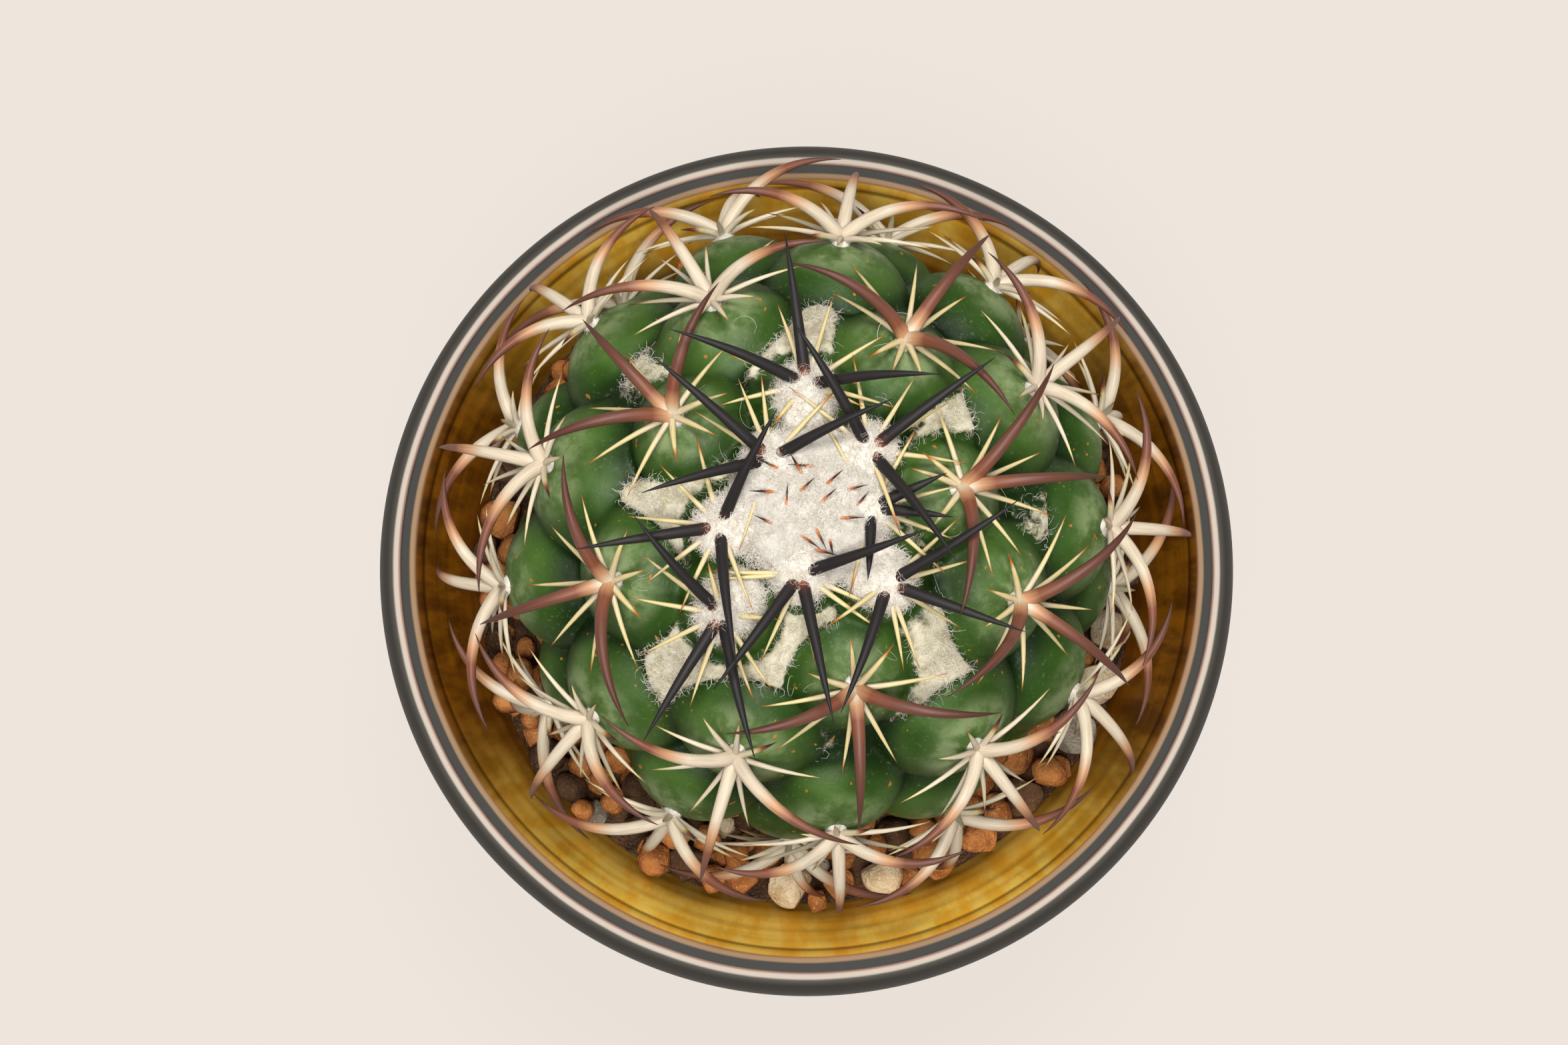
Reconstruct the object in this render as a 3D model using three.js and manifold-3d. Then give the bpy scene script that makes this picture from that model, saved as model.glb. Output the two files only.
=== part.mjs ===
// Potted round cactus: a glazed stoneware bowl, gritty soil with a stone top dressing, and a single
// round stem whose tubercles each carry a woolly areole with its cluster of spines.
// Millimetres, +Z up. The origin is the centre of the pot's foot ring, on the surface it stands on.
import * as THREE from "three";
import { mergeVertices } from "three/addons/utils/BufferGeometryUtils.js";
import Module from "manifold-3d";

const wasm = await Module();
wasm.setup();

const DEG = Math.PI / 180;
const GAP = 0.3; // between pieces that touch
const LEAST_EDGE = 0.02; // shorter edges are merged away

// Pot
const POT_RADIUS = 76; // at the shoulder, its widest
const POT_HEIGHT = 92;
const SHOULDER_BELOW_RIM = 6;
const LIP_OUTER_RADIUS = 72.8; // outer edge of the lip's flat crest
const LIP_INNER_RADIUS = 70.2;
const BEVEL_DEPTH = 1.5; // from the crest's inner edge down to the wall
const WALL_MOUTH_RADIUS = 68.4; // inner wall just under the lip
const WALL_TAPER = 0.36; // inner radius lost per mm of depth
const FLOOR_TOP = 12;
const FLOOR_UNDERSIDE = 5;
const FLOOR_FILLET = 6;
const FILLET_TOP = FLOOR_TOP + FLOOR_FILLET;
const FOOT_INNER_RADIUS = 35;
const FOOT_OUTER_RADIUS = 42;
const FOOT_FLARE = 1.5; // from the foot ring out to where the bowl starts
const BELLY_RADIUS = 60; // pulls the outside of the bowl outwards
const BELLY_HEIGHT = 35;
const DRAIN_RADIUS = 8;
const POT_SIDES = 44;

// Drain screen
const SCREEN_RADIUS = 14;
const SCREEN_THICKNESS = 1.2;
const SCREEN_PITCH = 5;
const SCREEN_HOLE = 3.6;

// Soil and top dressing
const SOIL_TOP = POT_HEIGHT - 22;
const PEBBLE_RING_RADIUS = 56.5;
const PEBBLE_TOP = SOIL_TOP + 10; // nothing of the plant reaches below this outside the stem

// Stem: an ellipsoid envelope that touches every tubercle tip
const AXIS_X = 0.4; // the plant stands a little off the pot's centre
const AXIS_Y = 3.7;
const STEM_RADIUS = 53.5;
const EQUATOR_Z = POT_HEIGHT + 13;
const CROWN_RISE = 46; // equator to apex
const BASE_DROP = 50; // equator to the lower pole of the envelope
const STUB_BOTTOM = 58; // the buried stub is cut flat here
const STUB_INSET = 5; // of the buried stub inside the envelope
const COLLAR_HEIGHT = 4; // over which the tubercles die away above the soil
const STEM_SIDES = 48;
const STEM_RINGS = 26;
const DEEPEST_CREASE = 10;

// Growth: one areole every golden angle or nearly, the youngest beside the apex
const DIVERGENCE = 137.8;
const FIRST_AZIMUTH = 8 - 8 * DIVERGENCE;
const FIRST_DROP = 0.7; // of the youngest areole below the apex
const CROWN_STEP = 0.066; // the drop then grows as a power of the areole's number
const CROWN_POWER = 2.02;
const CROWN_AREOLES = 18; // past these the areoles are evenly spaced in height
const STEP_DOWN = 1.9;
const LEAST_SPACING = 13; // between neighbouring areoles, reached round the crown
const GROWING_POINT_RADIUS = 9; // of the low dome at the apex
const TUBERCLES = 47;
const CLUSTERS = 38; // the tubercles against the soil have lost their spines
const TUBERCLE_ROUNDNESS = 0.68; // tubercle radius over the distance to its neighbours
const WOOLLY_AREOLES = 8;

// Areoles beside the apex stand this many degrees ahead of the spiral until they settle
const AHEAD = [12, 8, 0, 5, 16];

// Which way the central spines of each of the first areoles point: degrees from straight outward
const TURNS = [
  [27, -6, -94],
  [9, 69, -112],
  [22, 112, -29],
  [-9, 83, -104],
  [-3, 90, -128],
  [27, 83, -70],
  [6, 74, -100],
  [9, 58, -107],
  [-3, 48, -117],
  [-14, 50, -82],
  [-12, 72, -92],
  [-9, 106, -105],
  [-3, 88, -101],
  [-12, 64, -113],
  [7, 77, -107],
  [1, 88, -105],
];
const USUAL_TURNS = [0, 96, -96]; // every other areole, give or take TURN_SPREAD
const TURN_SPREAD = 12;

// Spines: lean from the areole's normal at root and tip, length and root radius
const YOUNG_CENTRAL = { fromLean: 50, toLean: 82, length: 23, radius: 1 };
const OLD_CENTRAL = { fromLean: 36, toLean: 112, length: 24, radius: 1.15 };
const INNER_RADIAL = { fromLean: 66, toLean: 86, length: 9, radius: 0.6 };
const OUTER_RADIAL = { fromLean: 76, toLean: 96, length: 14, radius: 0.5 };
const FIRST_CENTRALS = 0.55; // the youngest areole's centrals, as a share of full length
const CENTRAL_SPREAD = 3; // spread of the length
const RADIAL_SPREAD = 2.5;
const RADIALS = 9;
const SPINE_STEPS = 4; // stretches in which a spine's clearances are judged
const LEAST_LEAN = 8;
const SPINE_GAP = 0.5; // least clear distance between two clusters' spines
const SKIN_GAP = 0.6; // and from a spine to another tubercle
const WOOL_GAP = 0.7; // and from a spine to another areole's wool
const NEIGHBOURHOOD = 30; // spines whose middles are farther apart can't meet
const REACH = 68; // from the pot's axis, above the rim
const GAP_REACH = 59; // from the pot's axis, below the rim: the ring that water is poured into
const CROWN_WOOL_RADIUS = 5.6;
const WOOL_RADIUS = 3.3;
const AREOLE_RADIUS = 2.1;
const ROOT_HEIGHT = 0.4; // of the spines' common root above the tubercle's tip

// A repeatable number from 0 to 1 for each pair of whole numbers
function wobble(a, b) {
  const value = Math.sin(a * 12.9898 + b * 78.233) * 43758.5453;
  return value - Math.floor(value);
}

// ---- Solids ----

function weld(geometry) {
  const bare = geometry.clone();
  bare.deleteAttribute("normal");
  bare.deleteAttribute("uv");
  return mergeVertices(bare, 1e-3);
}

function toSolid(geometry) {
  const merged = weld(geometry);
  return new wasm.Manifold(
    new wasm.Mesh({
      numProp: 3,
      vertProperties: new Float32Array(merged.attributes.position.array),
      triVerts: new Uint32Array(merged.index.array),
    }),
  );
}

function toGeometry(solid) {
  const mesh = solid.getMesh();
  return new THREE.BufferGeometry()
    .setAttribute("position", new THREE.BufferAttribute(mesh.vertProperties, 3))
    .setIndex(new THREE.BufferAttribute(mesh.triVerts, 1));
}

function largestBody(solid) {
  const bodies = solid.decompose();
  return bodies.reduce((best, body) => (body.volume() > best.volume() ? body : best));
}

// Turns a profile of [radius, height] points about the Z axis
function turned(profile, sides) {
  const points = profile.map(([radius, height]) => new THREE.Vector2(radius, height));
  return new THREE.LatheGeometry(points, sides).rotateX(Math.PI / 2);
}

// ---- Pot ----

function wallRadius(height) {
  return WALL_MOUTH_RADIUS - (POT_HEIGHT - height) * WALL_TAPER;
}

function bowlOutside() {
  const foot = new THREE.Vector2(FOOT_OUTER_RADIUS + FOOT_FLARE, FLOOR_UNDERSIDE);
  const belly = new THREE.Vector2(BELLY_RADIUS, BELLY_HEIGHT);
  const shoulder = new THREE.Vector2(POT_RADIUS, POT_HEIGHT - SHOULDER_BELOW_RIM);
  return new THREE.QuadraticBezierCurve(foot, belly, shoulder).getPoints(6).map((p) => [p.x, p.y]);
}

function lipOutside() {
  const points = [];
  for (let angle = 22.5; angle <= 90; angle += 22.5) {
    points.push([
      LIP_OUTER_RADIUS + (POT_RADIUS - LIP_OUTER_RADIUS) * Math.cos(angle * DEG),
      POT_HEIGHT - SHOULDER_BELOW_RIM + SHOULDER_BELOW_RIM * Math.sin(angle * DEG),
    ]);
  }
  return points;
}

function makePot() {
  return turned(
    [
      [DRAIN_RADIUS, FLOOR_UNDERSIDE],
      [FOOT_INNER_RADIUS, FLOOR_UNDERSIDE],
      [FOOT_INNER_RADIUS + 1, 0],
      [FOOT_OUTER_RADIUS, 0],
      ...bowlOutside(),
      ...lipOutside(),
      [LIP_INNER_RADIUS, POT_HEIGHT],
      [wallRadius(POT_HEIGHT - BEVEL_DEPTH), POT_HEIGHT - BEVEL_DEPTH],
      [wallRadius(FILLET_TOP), FILLET_TOP],
      [wallRadius(FILLET_TOP) - FLOOR_FILLET / 4, FLOOR_TOP + FLOOR_FILLET / 3],
      [wallRadius(FILLET_TOP) - FLOOR_FILLET, FLOOR_TOP],
      [DRAIN_RADIUS, FLOOR_TOP],
      [DRAIN_RADIUS, FLOOR_UNDERSIDE],
    ],
    POT_SIDES,
  );
}

function makeDrainScreen() {
  const disc = new THREE.CylinderGeometry(SCREEN_RADIUS, SCREEN_RADIUS, SCREEN_THICKNESS, 24);
  disc.rotateX(Math.PI / 2);
  disc.translate(0, 0, FLOOR_TOP + GAP + SCREEN_THICKNESS / 2);
  let screen = toSolid(disc);
  for (let column = -1; column <= 1; column++) {
    for (let row = -1; row <= 1; row++) {
      const hole = new THREE.BoxGeometry(SCREEN_HOLE, SCREEN_HOLE, 4 * SCREEN_THICKNESS);
      hole.translate(column * SCREEN_PITCH, row * SCREEN_PITCH, FLOOR_TOP + GAP);
      screen = screen.subtract(toSolid(hole));
    }
  }
  return toGeometry(screen);
}

// ---- Stem ----

const equator = new THREE.Vector3(AXIS_X, AXIS_Y, EQUATOR_Z);

// The point and outward normal of the envelope at an angle from the apex and an azimuth
function envelope(polar, azimuth) {
  const rise = polar < Math.PI / 2 ? CROWN_RISE : BASE_DROP;
  const around = new THREE.Vector3(Math.cos(azimuth), Math.sin(azimuth), 0);
  const point = around.clone().multiplyScalar(STEM_RADIUS * Math.sin(polar));
  point.z = rise * Math.cos(polar);
  const normal = around.clone().multiplyScalar(Math.sin(polar) / STEM_RADIUS);
  normal.z = Math.cos(polar) / rise;
  return { point: point.add(equator), normal: normal.normalize(), around };
}

function dropOfAreole(index) {
  const crown = (i) => FIRST_DROP + CROWN_STEP * Math.pow(Math.max(i, 0), CROWN_POWER);
  if (index <= CROWN_AREOLES) return crown(index);
  return crown(CROWN_AREOLES) + (index - CROWN_AREOLES) * STEP_DOWN;
}

function polarOfDrop(drop) {
  const cosine = drop < CROWN_RISE ? 1 - drop / CROWN_RISE : (CROWN_RISE - drop) / BASE_DROP;
  return Math.acos(cosine);
}

// An areole: its place, its outward normal, the direction away from the apex and the one to its side
function areole(index) {
  const azimuth = (FIRST_AZIMUTH + index * DIVERGENCE + (AHEAD[index] ?? 0)) * DEG;
  const polar = polarOfDrop(dropOfAreole(index));
  const { point, normal, around } = envelope(polar, azimuth);
  const side = new THREE.Vector3(0, 0, 1).cross(around).normalize();
  const away = side.clone().cross(normal).normalize();
  const stepHere = dropOfAreole(index + 0.5) - dropOfAreole(index - 0.5);
  const hexagon = 2 / Math.sqrt(3);
  const spacing = Math.max(Math.sqrt(2 * Math.PI * STEM_RADIUS * stepHere * hexagon), LEAST_SPACING);
  const radius = TUBERCLE_ROUNDNESS * spacing;
  const centre = point.clone().addScaledVector(normal, -radius);
  return { index, point, normal, away, side, radius, centre };
}

const apex = envelope(0, 0).point;
const areoles = Array.from({ length: TUBERCLES }, (_, index) => areole(index));
const domes = [...areoles, { point: apex, radius: GROWING_POINT_RADIUS }];

// How far the skin lies below the envelope: a round tubercle about each areole
function creaseDepth(point) {
  let depth = DEEPEST_CREASE;
  for (const { point: tip, radius } of domes) {
    const distance = Math.min(point.distanceTo(tip), radius);
    depth = Math.min(depth, radius - Math.sqrt(radius * radius - distance * distance));
  }
  return depth;
}

// The stem, grown all over by a margin
function makeStem(margin) {
  const lastPolar = Math.acos((STUB_BOTTOM - EQUATOR_Z) / BASE_DROP);
  const profile = [];
  for (let ring = 0; ring <= STEM_RINGS; ring++) {
    const { point } = envelope((lastPolar * ring) / STEM_RINGS, 0);
    profile.push([point.x - AXIS_X, point.z]);
  }
  profile[0][0] = 0;
  profile.push([0, STUB_BOTTOM]);
  const geometry = turned(profile.reverse(), STEM_SIDES);
  geometry.translate(AXIS_X, AXIS_Y, 0);
  const positions = geometry.attributes.position;
  const vertex = new THREE.Vector3();
  for (let i = 0; i < positions.count; i++) {
    vertex.fromBufferAttribute(positions, i);
    const fromAxis = Math.hypot(vertex.x - AXIS_X, vertex.y - AXIS_Y);
    if (vertex.z < STUB_BOTTOM + 0.01 && fromAxis < 1) {
      positions.setZ(i, STUB_BOTTOM - margin);
      continue;
    }
    const rise = vertex.z > EQUATOR_Z ? CROWN_RISE : BASE_DROP;
    const polar = Math.acos(THREE.MathUtils.clamp((vertex.z - EQUATOR_Z) / rise, -1, 1));
    const azimuth = Math.atan2(vertex.y - AXIS_Y, vertex.x - AXIS_X);
    const { normal } = envelope(polar, azimuth);
    const buried = THREE.MathUtils.smoothstep(SOIL_TOP + COLLAR_HEIGHT - vertex.z, 0, COLLAR_HEIGHT);
    const inset = THREE.MathUtils.lerp(creaseDepth(vertex), STUB_INSET, buried);
    vertex.addScaledVector(normal, margin - inset);
    positions.setXYZ(i, vertex.x, vertex.y, vertex.z);
  }
  return toSolid(geometry);
}

const stem = makeStem(0);
const grownStem = makeStem(GAP);

// ---- Soil and stones ----

function makeSoil() {
  const bottom = FLOOR_TOP + GAP;
  const screenTop = bottom + SCREEN_THICKNESS + GAP;
  const screenEdge = SCREEN_RADIUS + 2 * GAP;
  const soil = turned(
    [
      [0, screenTop],
      [screenEdge, screenTop],
      [screenEdge, bottom],
      [wallRadius(FILLET_TOP) - FLOOR_FILLET - GAP, bottom],
      [wallRadius(FILLET_TOP) - FLOOR_FILLET / 3, FLOOR_TOP + FLOOR_FILLET / 3 + GAP],
      [wallRadius(FILLET_TOP) - 2 * GAP, FILLET_TOP],
      [wallRadius(SOIL_TOP) - 2 * GAP, SOIL_TOP],
      [0, SOIL_TOP + 0.5],
    ],
    POT_SIDES,
  );
  return toGeometry(toSolid(soil).subtract(grownStem));
}

// The larger stones of the top dressing: name, azimuth, diameter and colour
const STONES = [
  ["stone_mauve", -112, 9, 0x6b5650],
  ["stone_clay_a", -102, 7.5, 0xa9713f],
  ["stone_white_a", -93, 9, 0xd9c7ae],
  ["stone_clay_b", -84, 6.5, 0xb07a48],
  ["stone_cream", -76, 8.5, 0xe3d3a8],
  ["stone_clay_c", -66, 8.5, 0xa56a3c],
  ["stone_clay_d", -57, 7.5, 0xa9713f],
  ["stone_dark_a", -46, 8, 0x54463c],
  ["stone_grey", -31, 9, 0x9a958c],
  ["stone_tan", -21, 8.5, 0xc09a6c],
  ["stone_beige", -11, 9, 0xc9b79c],
  ["stone_moss", -1, 8.5, 0x6f6138],
  ["stone_dark_b", 43, 9, 0x5d4636],
  ["stone_clay_e", 170, 8, 0x9a6440],
  ["stone_clay_f", 181, 7.5, 0xa9713f],
];

function makeStone(index, azimuth, diameter) {
  const geometry = new THREE.IcosahedronGeometry(diameter / 2, 1);
  geometry.scale(0.86 + 0.2 * wobble(index, 1), 0.92, 0.8 + 0.14 * wobble(index, 2));
  const welded = weld(geometry);
  const positions = welded.attributes.position;
  const vertex = new THREE.Vector3();
  for (let i = 0; i < positions.count; i++) {
    vertex.fromBufferAttribute(positions, i).multiplyScalar(0.86 + 0.14 * wobble(index * 50 + i, 3));
    positions.setXYZ(i, vertex.x, vertex.y, vertex.z);
  }
  welded.rotateZ(azimuth * DEG);
  welded.computeBoundingBox();
  welded.translate(
    PEBBLE_RING_RADIUS * Math.cos(azimuth * DEG),
    PEBBLE_RING_RADIUS * Math.sin(azimuth * DEG),
    SOIL_TOP + 2 * GAP - welded.boundingBox.min.z,
  );
  return welded;
}

// ---- Spines ----

// A spine leaves its areole at a lean from the normal and bends over to a larger lean at its tip
class Spine {
  constructor(home, turn, kind, lift, share) {
    const heading = turn * DEG;
    this.home = home;
    this.length = kind.length * share;
    this.radius = kind.radius;
    this.fromLean = Math.max(kind.fromLean + lift, LEAST_LEAN) * DEG;
    this.toLean = (kind.toLean + lift) * DEG;
    this.normal = home.normal;
    this.heading = home.away
      .clone()
      .multiplyScalar(Math.cos(heading))
      .addScaledVector(home.side, Math.sin(heading));
    this.root = home.point.clone().addScaledVector(home.normal, ROOT_HEIGHT);
  }

  lean(share) {
    return this.fromLean + (this.toLean - this.fromLean) * share;
  }

  point(share) {
    const bend = this.length / (this.toLean - this.fromLean);
    const lean = this.lean(share);
    return this.root
      .clone()
      .addScaledVector(this.heading, bend * (Math.cos(this.fromLean) - Math.cos(lean)))
      .addScaledVector(this.normal, bend * (Math.sin(lean) - Math.sin(this.fromLean)));
  }

  // Full for half its length, then drawn to a point
  thickness(share) {
    return this.radius * Math.pow(1 - Math.pow(share, 2.2), 0.9);
  }

  samples() {
    const steps = Array.from({ length: SPINE_STEPS + 1 }, (_, i) => i / SPINE_STEPS);
    return steps.map((share) => ({ at: this.point(share), radius: this.thickness(share) }));
  }
}

// The least distance between two straight stretches
function stretchDistance(a0, a1, b0, b1) {
  const u = a1.clone().sub(a0);
  const v = b1.clone().sub(b0);
  const w = a0.clone().sub(b0);
  const uu = u.dot(u);
  const uv = u.dot(v);
  const vv = v.dot(v);
  const across = Math.max(uu * vv - uv * uv, 1e-9);
  let s = THREE.MathUtils.clamp((uv * v.dot(w) - vv * u.dot(w)) / across, 0, 1);
  const t = THREE.MathUtils.clamp((uv * s + v.dot(w)) / vv, 0, 1);
  s = THREE.MathUtils.clamp((uv * t - u.dot(w)) / uu, 0, 1);
  return w.addScaledVector(u, s).addScaledVector(v, -t).length();
}

function clearOfPot(samples) {
  return samples.slice(1).every(({ at, radius }) => {
    const out = Math.hypot(at.x, at.y) + radius;
    const limit = at.z - radius > POT_HEIGHT + 2 ? REACH : GAP_REACH;
    return out < limit && at.z - radius > PEBBLE_TOP;
  });
}

function clearOfTubercles(home, samples) {
  return areoles.every((other) => {
    if (other === home) return true;
    const tip = samples.slice(1);
    return tip.every(({ at, radius }) => at.distanceTo(other.centre) > other.radius + radius + SKIN_GAP);
  });
}

function clearOfSpines(home, samples, grown) {
  const middle = samples[SPINE_STEPS / 2].at;
  for (const other of grown) {
    if (other.home === home) continue;
    if (middle.distanceTo(other.middle) > NEIGHBOURHOOD) continue;
    for (let i = 0; i < SPINE_STEPS; i++) {
      for (let j = 0; j < SPINE_STEPS; j++) {
        const [a0, a1] = [samples[i], samples[i + 1]];
        const [b0, b1] = [other.samples[j], other.samples[j + 1]];
        const apart = stretchDistance(a0.at, a1.at, b0.at, b1.at);
        if (apart < a0.radius + b0.radius + SPINE_GAP) return false;
      }
    }
  }
  return true;
}

function cushionRadius(areole) {
  return areole.index < WOOLLY_AREOLES ? WOOL_RADIUS : AREOLE_RADIUS;
}

function clearOfWool(home, samples) {
  const clearOf = (place, bulk) => {
    return samples.every(({ at, radius }) => at.distanceTo(place) > bulk + radius + WOOL_GAP);
  };
  if (!clearOf(apex, CROWN_WOOL_RADIUS)) return false;
  const others = areoles.slice(0, CLUSTERS).filter((other) => other !== home);
  return others.every((other) => clearOf(other.point, cushionRadius(other)));
}

const LIFTS = [0, -7, 7, -14, 14, -21, -28];
const SWINGS = [0, 8, -8, 16, -16, 24, -24];
const SHORTER = [1, 0.85, 0.7, 0.55];

// Spines grow round one another: each takes the first free way near its own direction, if there is one
function growSpine(home, turn, kind, grown) {
  for (const share of SHORTER) {
    for (const lift of LIFTS) {
      for (const swing of SWINGS) {
        const spine = new Spine(home, turn + swing, kind, lift, share);
        const samples = spine.samples();
        if (!clearOfPot(samples)) continue;
        if (!clearOfWool(home, samples)) continue;
        if (!clearOfTubercles(home, samples)) continue;
        if (!clearOfSpines(home, samples, grown)) continue;
        grown.push({ home, spine, samples, middle: samples[SPINE_STEPS / 2].at });
        return;
      }
    }
  }
}

function growCentrals(home, grown) {
  const n = home.index;
  const kind = n < WOOLLY_AREOLES ? YOUNG_CENTRAL : OLD_CENTRAL;
  USUAL_TURNS.forEach((usual, k) => {
    const turn = TURNS[n]?.[k] ?? usual + TURN_SPREAD * (2 * wobble(n, k) - 1);
    const length = (kind.length + CENTRAL_SPREAD * wobble(n, k + 10)) * (n === 0 ? FIRST_CENTRALS : 1);
    growSpine(home, turn, { ...kind, length }, grown);
  });
}

function growRadials(home, grown) {
  const n = home.index;
  for (let k = 0; k < RADIALS; k++) {
    const turn = (360 / RADIALS) * (k + 0.5) + (TURN_SPREAD / 2) * (2 * wobble(n, k + 20) - 1);
    const kind = Math.cos(turn * DEG) < -0.6 ? INNER_RADIAL : OUTER_RADIAL;
    const length = kind.length + RADIAL_SPREAD * wobble(n, k + 30);
    growSpine(home, turn, { ...kind, length }, grown);
  }
}

function growAll() {
  const grown = [];
  const homes = areoles.slice(0, CLUSTERS);
  for (const home of homes) growCentrals(home, grown);
  for (const home of homes) growRadials(home, grown);
  return grown;
}

// Bends a cone along its spine's arc
function spineGeometry(spine) {
  const steps = spine.radius >= YOUNG_CENTRAL.radius ? 3 : 1;
  const cone = new THREE.ConeGeometry(1, 1, 3, steps);
  const positions = cone.attributes.position;
  const across = spine.heading.clone().cross(spine.normal);
  for (let i = 0; i < positions.count; i++) {
    const share = THREE.MathUtils.clamp(positions.getY(i) + 0.5, 0, 1);
    const taper = share < 1 ? spine.thickness(share) / (1 - share) : 0;
    const lean = spine.lean(share);
    const along = spine.heading
      .clone()
      .multiplyScalar(Math.sin(lean))
      .addScaledVector(spine.normal, Math.cos(lean));
    const depth = across.clone().cross(along);
    const point = spine
      .point(share)
      .addScaledVector(across, positions.getX(i) * taper)
      .addScaledVector(depth, positions.getZ(i) * taper);
    positions.setXYZ(i, point.x, point.y, point.z);
  }
  return cone;
}

function makeCluster(home, spines) {
  const cushion = new THREE.OctahedronGeometry(cushionRadius(home));
  cushion.translate(home.point.x, home.point.y, home.point.z);
  let cluster = toSolid(cushion);
  for (const spine of spines) cluster = cluster.add(toSolid(spineGeometry(spine)));
  return toGeometry(largestBody(cluster.subtract(grownStem)).asOriginal().simplify(LEAST_EDGE));
}

// The felt that covers the growing point, inside the youngest areoles
function makeCrownWool() {
  const pad = new THREE.SphereGeometry(CROWN_WOOL_RADIUS, 12, 6).rotateX(Math.PI / 2);
  pad.scale(1, 1, 0.55);
  pad.translate(apex.x, apex.y, apex.z);
  return toGeometry(largestBody(toSolid(pad).subtract(grownStem)));
}

// ---- Assembly ----

const glaze = new THREE.MeshStandardMaterial({ color: 0xa8752a, roughness: 0.3, metalness: 0 });
const screenPlastic = new THREE.MeshStandardMaterial({ color: 0x2b2b2b, roughness: 0.7, metalness: 0 });
const grit = new THREE.MeshStandardMaterial({ color: 0x7d5636, roughness: 0.95, metalness: 0 });
const skin = new THREE.MeshStandardMaterial({ color: 0x3f7f4c, roughness: 0.55, metalness: 0 });
const felt = new THREE.MeshStandardMaterial({ color: 0xefe4d6, roughness: 1, metalness: 0 });
const youngSpine = new THREE.MeshStandardMaterial({ color: 0x2f2c2a, roughness: 0.6, metalness: 0 });
const oldSpine = new THREE.MeshStandardMaterial({ color: 0xe6d2ae, roughness: 0.5, metalness: 0 });

const cactus = new THREE.Group();

function addPiece(name, geometry, material) {
  const mesh = new THREE.Mesh(geometry, material);
  mesh.name = name;
  cactus.add(mesh);
}

addPiece("pot", makePot(), glaze);
addPiece("drain_screen", makeDrainScreen(), screenPlastic);
addPiece("soil", makeSoil(), grit);
addPiece("stem", toGeometry(stem), skin);
addPiece("crown_wool", makeCrownWool(), felt);

STONES.forEach(([name, azimuth, diameter, color], index) => {
  const material = new THREE.MeshStandardMaterial({ color, roughness: 0.9, metalness: 0 });
  addPiece(name, makeStone(index, azimuth, diameter), material);
});

const grown = growAll();
for (const home of areoles.slice(0, CLUSTERS)) {
  const spines = grown.filter((entry) => entry.home === home).map((entry) => entry.spine);
  const name = "spines_" + String(home.index).padStart(2, "0");
  const material = home.index < WOOLLY_AREOLES ? youngSpine : oldSpine;
  addPiece(name, makeCluster(home, spines), material);
}

export default cactus;
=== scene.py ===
"""A potted round cactus around its CAD frame: glazed bowl, grit, stem, felt and spines.

Growth is worked out in millimetres, as the frame's design states it, and meshes are made in metres.
"""

import math

import bmesh
import bpy
import numpy as np
from mathutils import Matrix, Vector


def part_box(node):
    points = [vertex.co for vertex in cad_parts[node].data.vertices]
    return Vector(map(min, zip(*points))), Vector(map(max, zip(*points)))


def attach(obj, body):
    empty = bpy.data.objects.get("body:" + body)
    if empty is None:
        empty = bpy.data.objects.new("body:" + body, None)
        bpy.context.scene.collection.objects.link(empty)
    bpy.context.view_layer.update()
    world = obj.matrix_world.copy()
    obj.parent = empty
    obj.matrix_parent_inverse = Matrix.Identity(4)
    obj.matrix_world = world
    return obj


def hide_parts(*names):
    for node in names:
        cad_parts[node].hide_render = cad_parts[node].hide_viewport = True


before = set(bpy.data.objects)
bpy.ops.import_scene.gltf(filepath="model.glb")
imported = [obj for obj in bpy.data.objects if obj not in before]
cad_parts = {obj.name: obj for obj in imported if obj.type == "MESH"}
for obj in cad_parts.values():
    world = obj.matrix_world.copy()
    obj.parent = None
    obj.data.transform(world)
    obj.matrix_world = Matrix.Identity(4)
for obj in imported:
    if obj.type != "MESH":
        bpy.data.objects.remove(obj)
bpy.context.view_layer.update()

MM = 0.001
DEG = math.pi / 180

# ---- Sizes from the frame, in millimetres ----

pot_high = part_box("pot")[1] / MM

GAP = 0.3  # between pieces that touch
POT_RADIUS = pot_high.x
POT_HEIGHT = pot_high.z
SHOULDER_BELOW_RIM = 6
LIP_OUTER_RADIUS = 72.8
LIP_INNER_RADIUS = 70.2
BEVEL_DEPTH = 1.5
WALL_MOUTH_RADIUS = 68.4
WALL_TAPER = 0.36
FLOOR_TOP = 12
FLOOR_UNDERSIDE = 5
FLOOR_FILLET = 6
FILLET_TOP = FLOOR_TOP + FLOOR_FILLET
FOOT_INNER_RADIUS = 35
FOOT_OUTER_RADIUS = 42
FOOT_FLARE = 1.5
BELLY = (60, 35)  # pulls the outside of the bowl outwards
GROOVE_RADIUS = 71.9  # between the lip's cream line and its dark band
GROOVE_DEPTH = 0.1
DRAIN_RADIUS = 8
SCREEN_RADIUS = 14
SCREEN_THICKNESS = 1.2
SOIL_TOP = POT_HEIGHT - 22
STONE_TOP = SOIL_TOP + 10  # nothing of the plant reaches below this outside the stem

# Stem: an ellipsoid envelope that touches every tubercle tip
AXIS = np.array([0.4, 3.7, POT_HEIGHT + 13])  # its centre, at the equator
STEM_RADIUS = 53.5
CROWN_RISE = 46
BASE_DROP = 50
STUB_BOTTOM = 58
STUB_INSET = 5
COLLAR_HEIGHT = 4
DEEPEST_CREASE = 10

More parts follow.
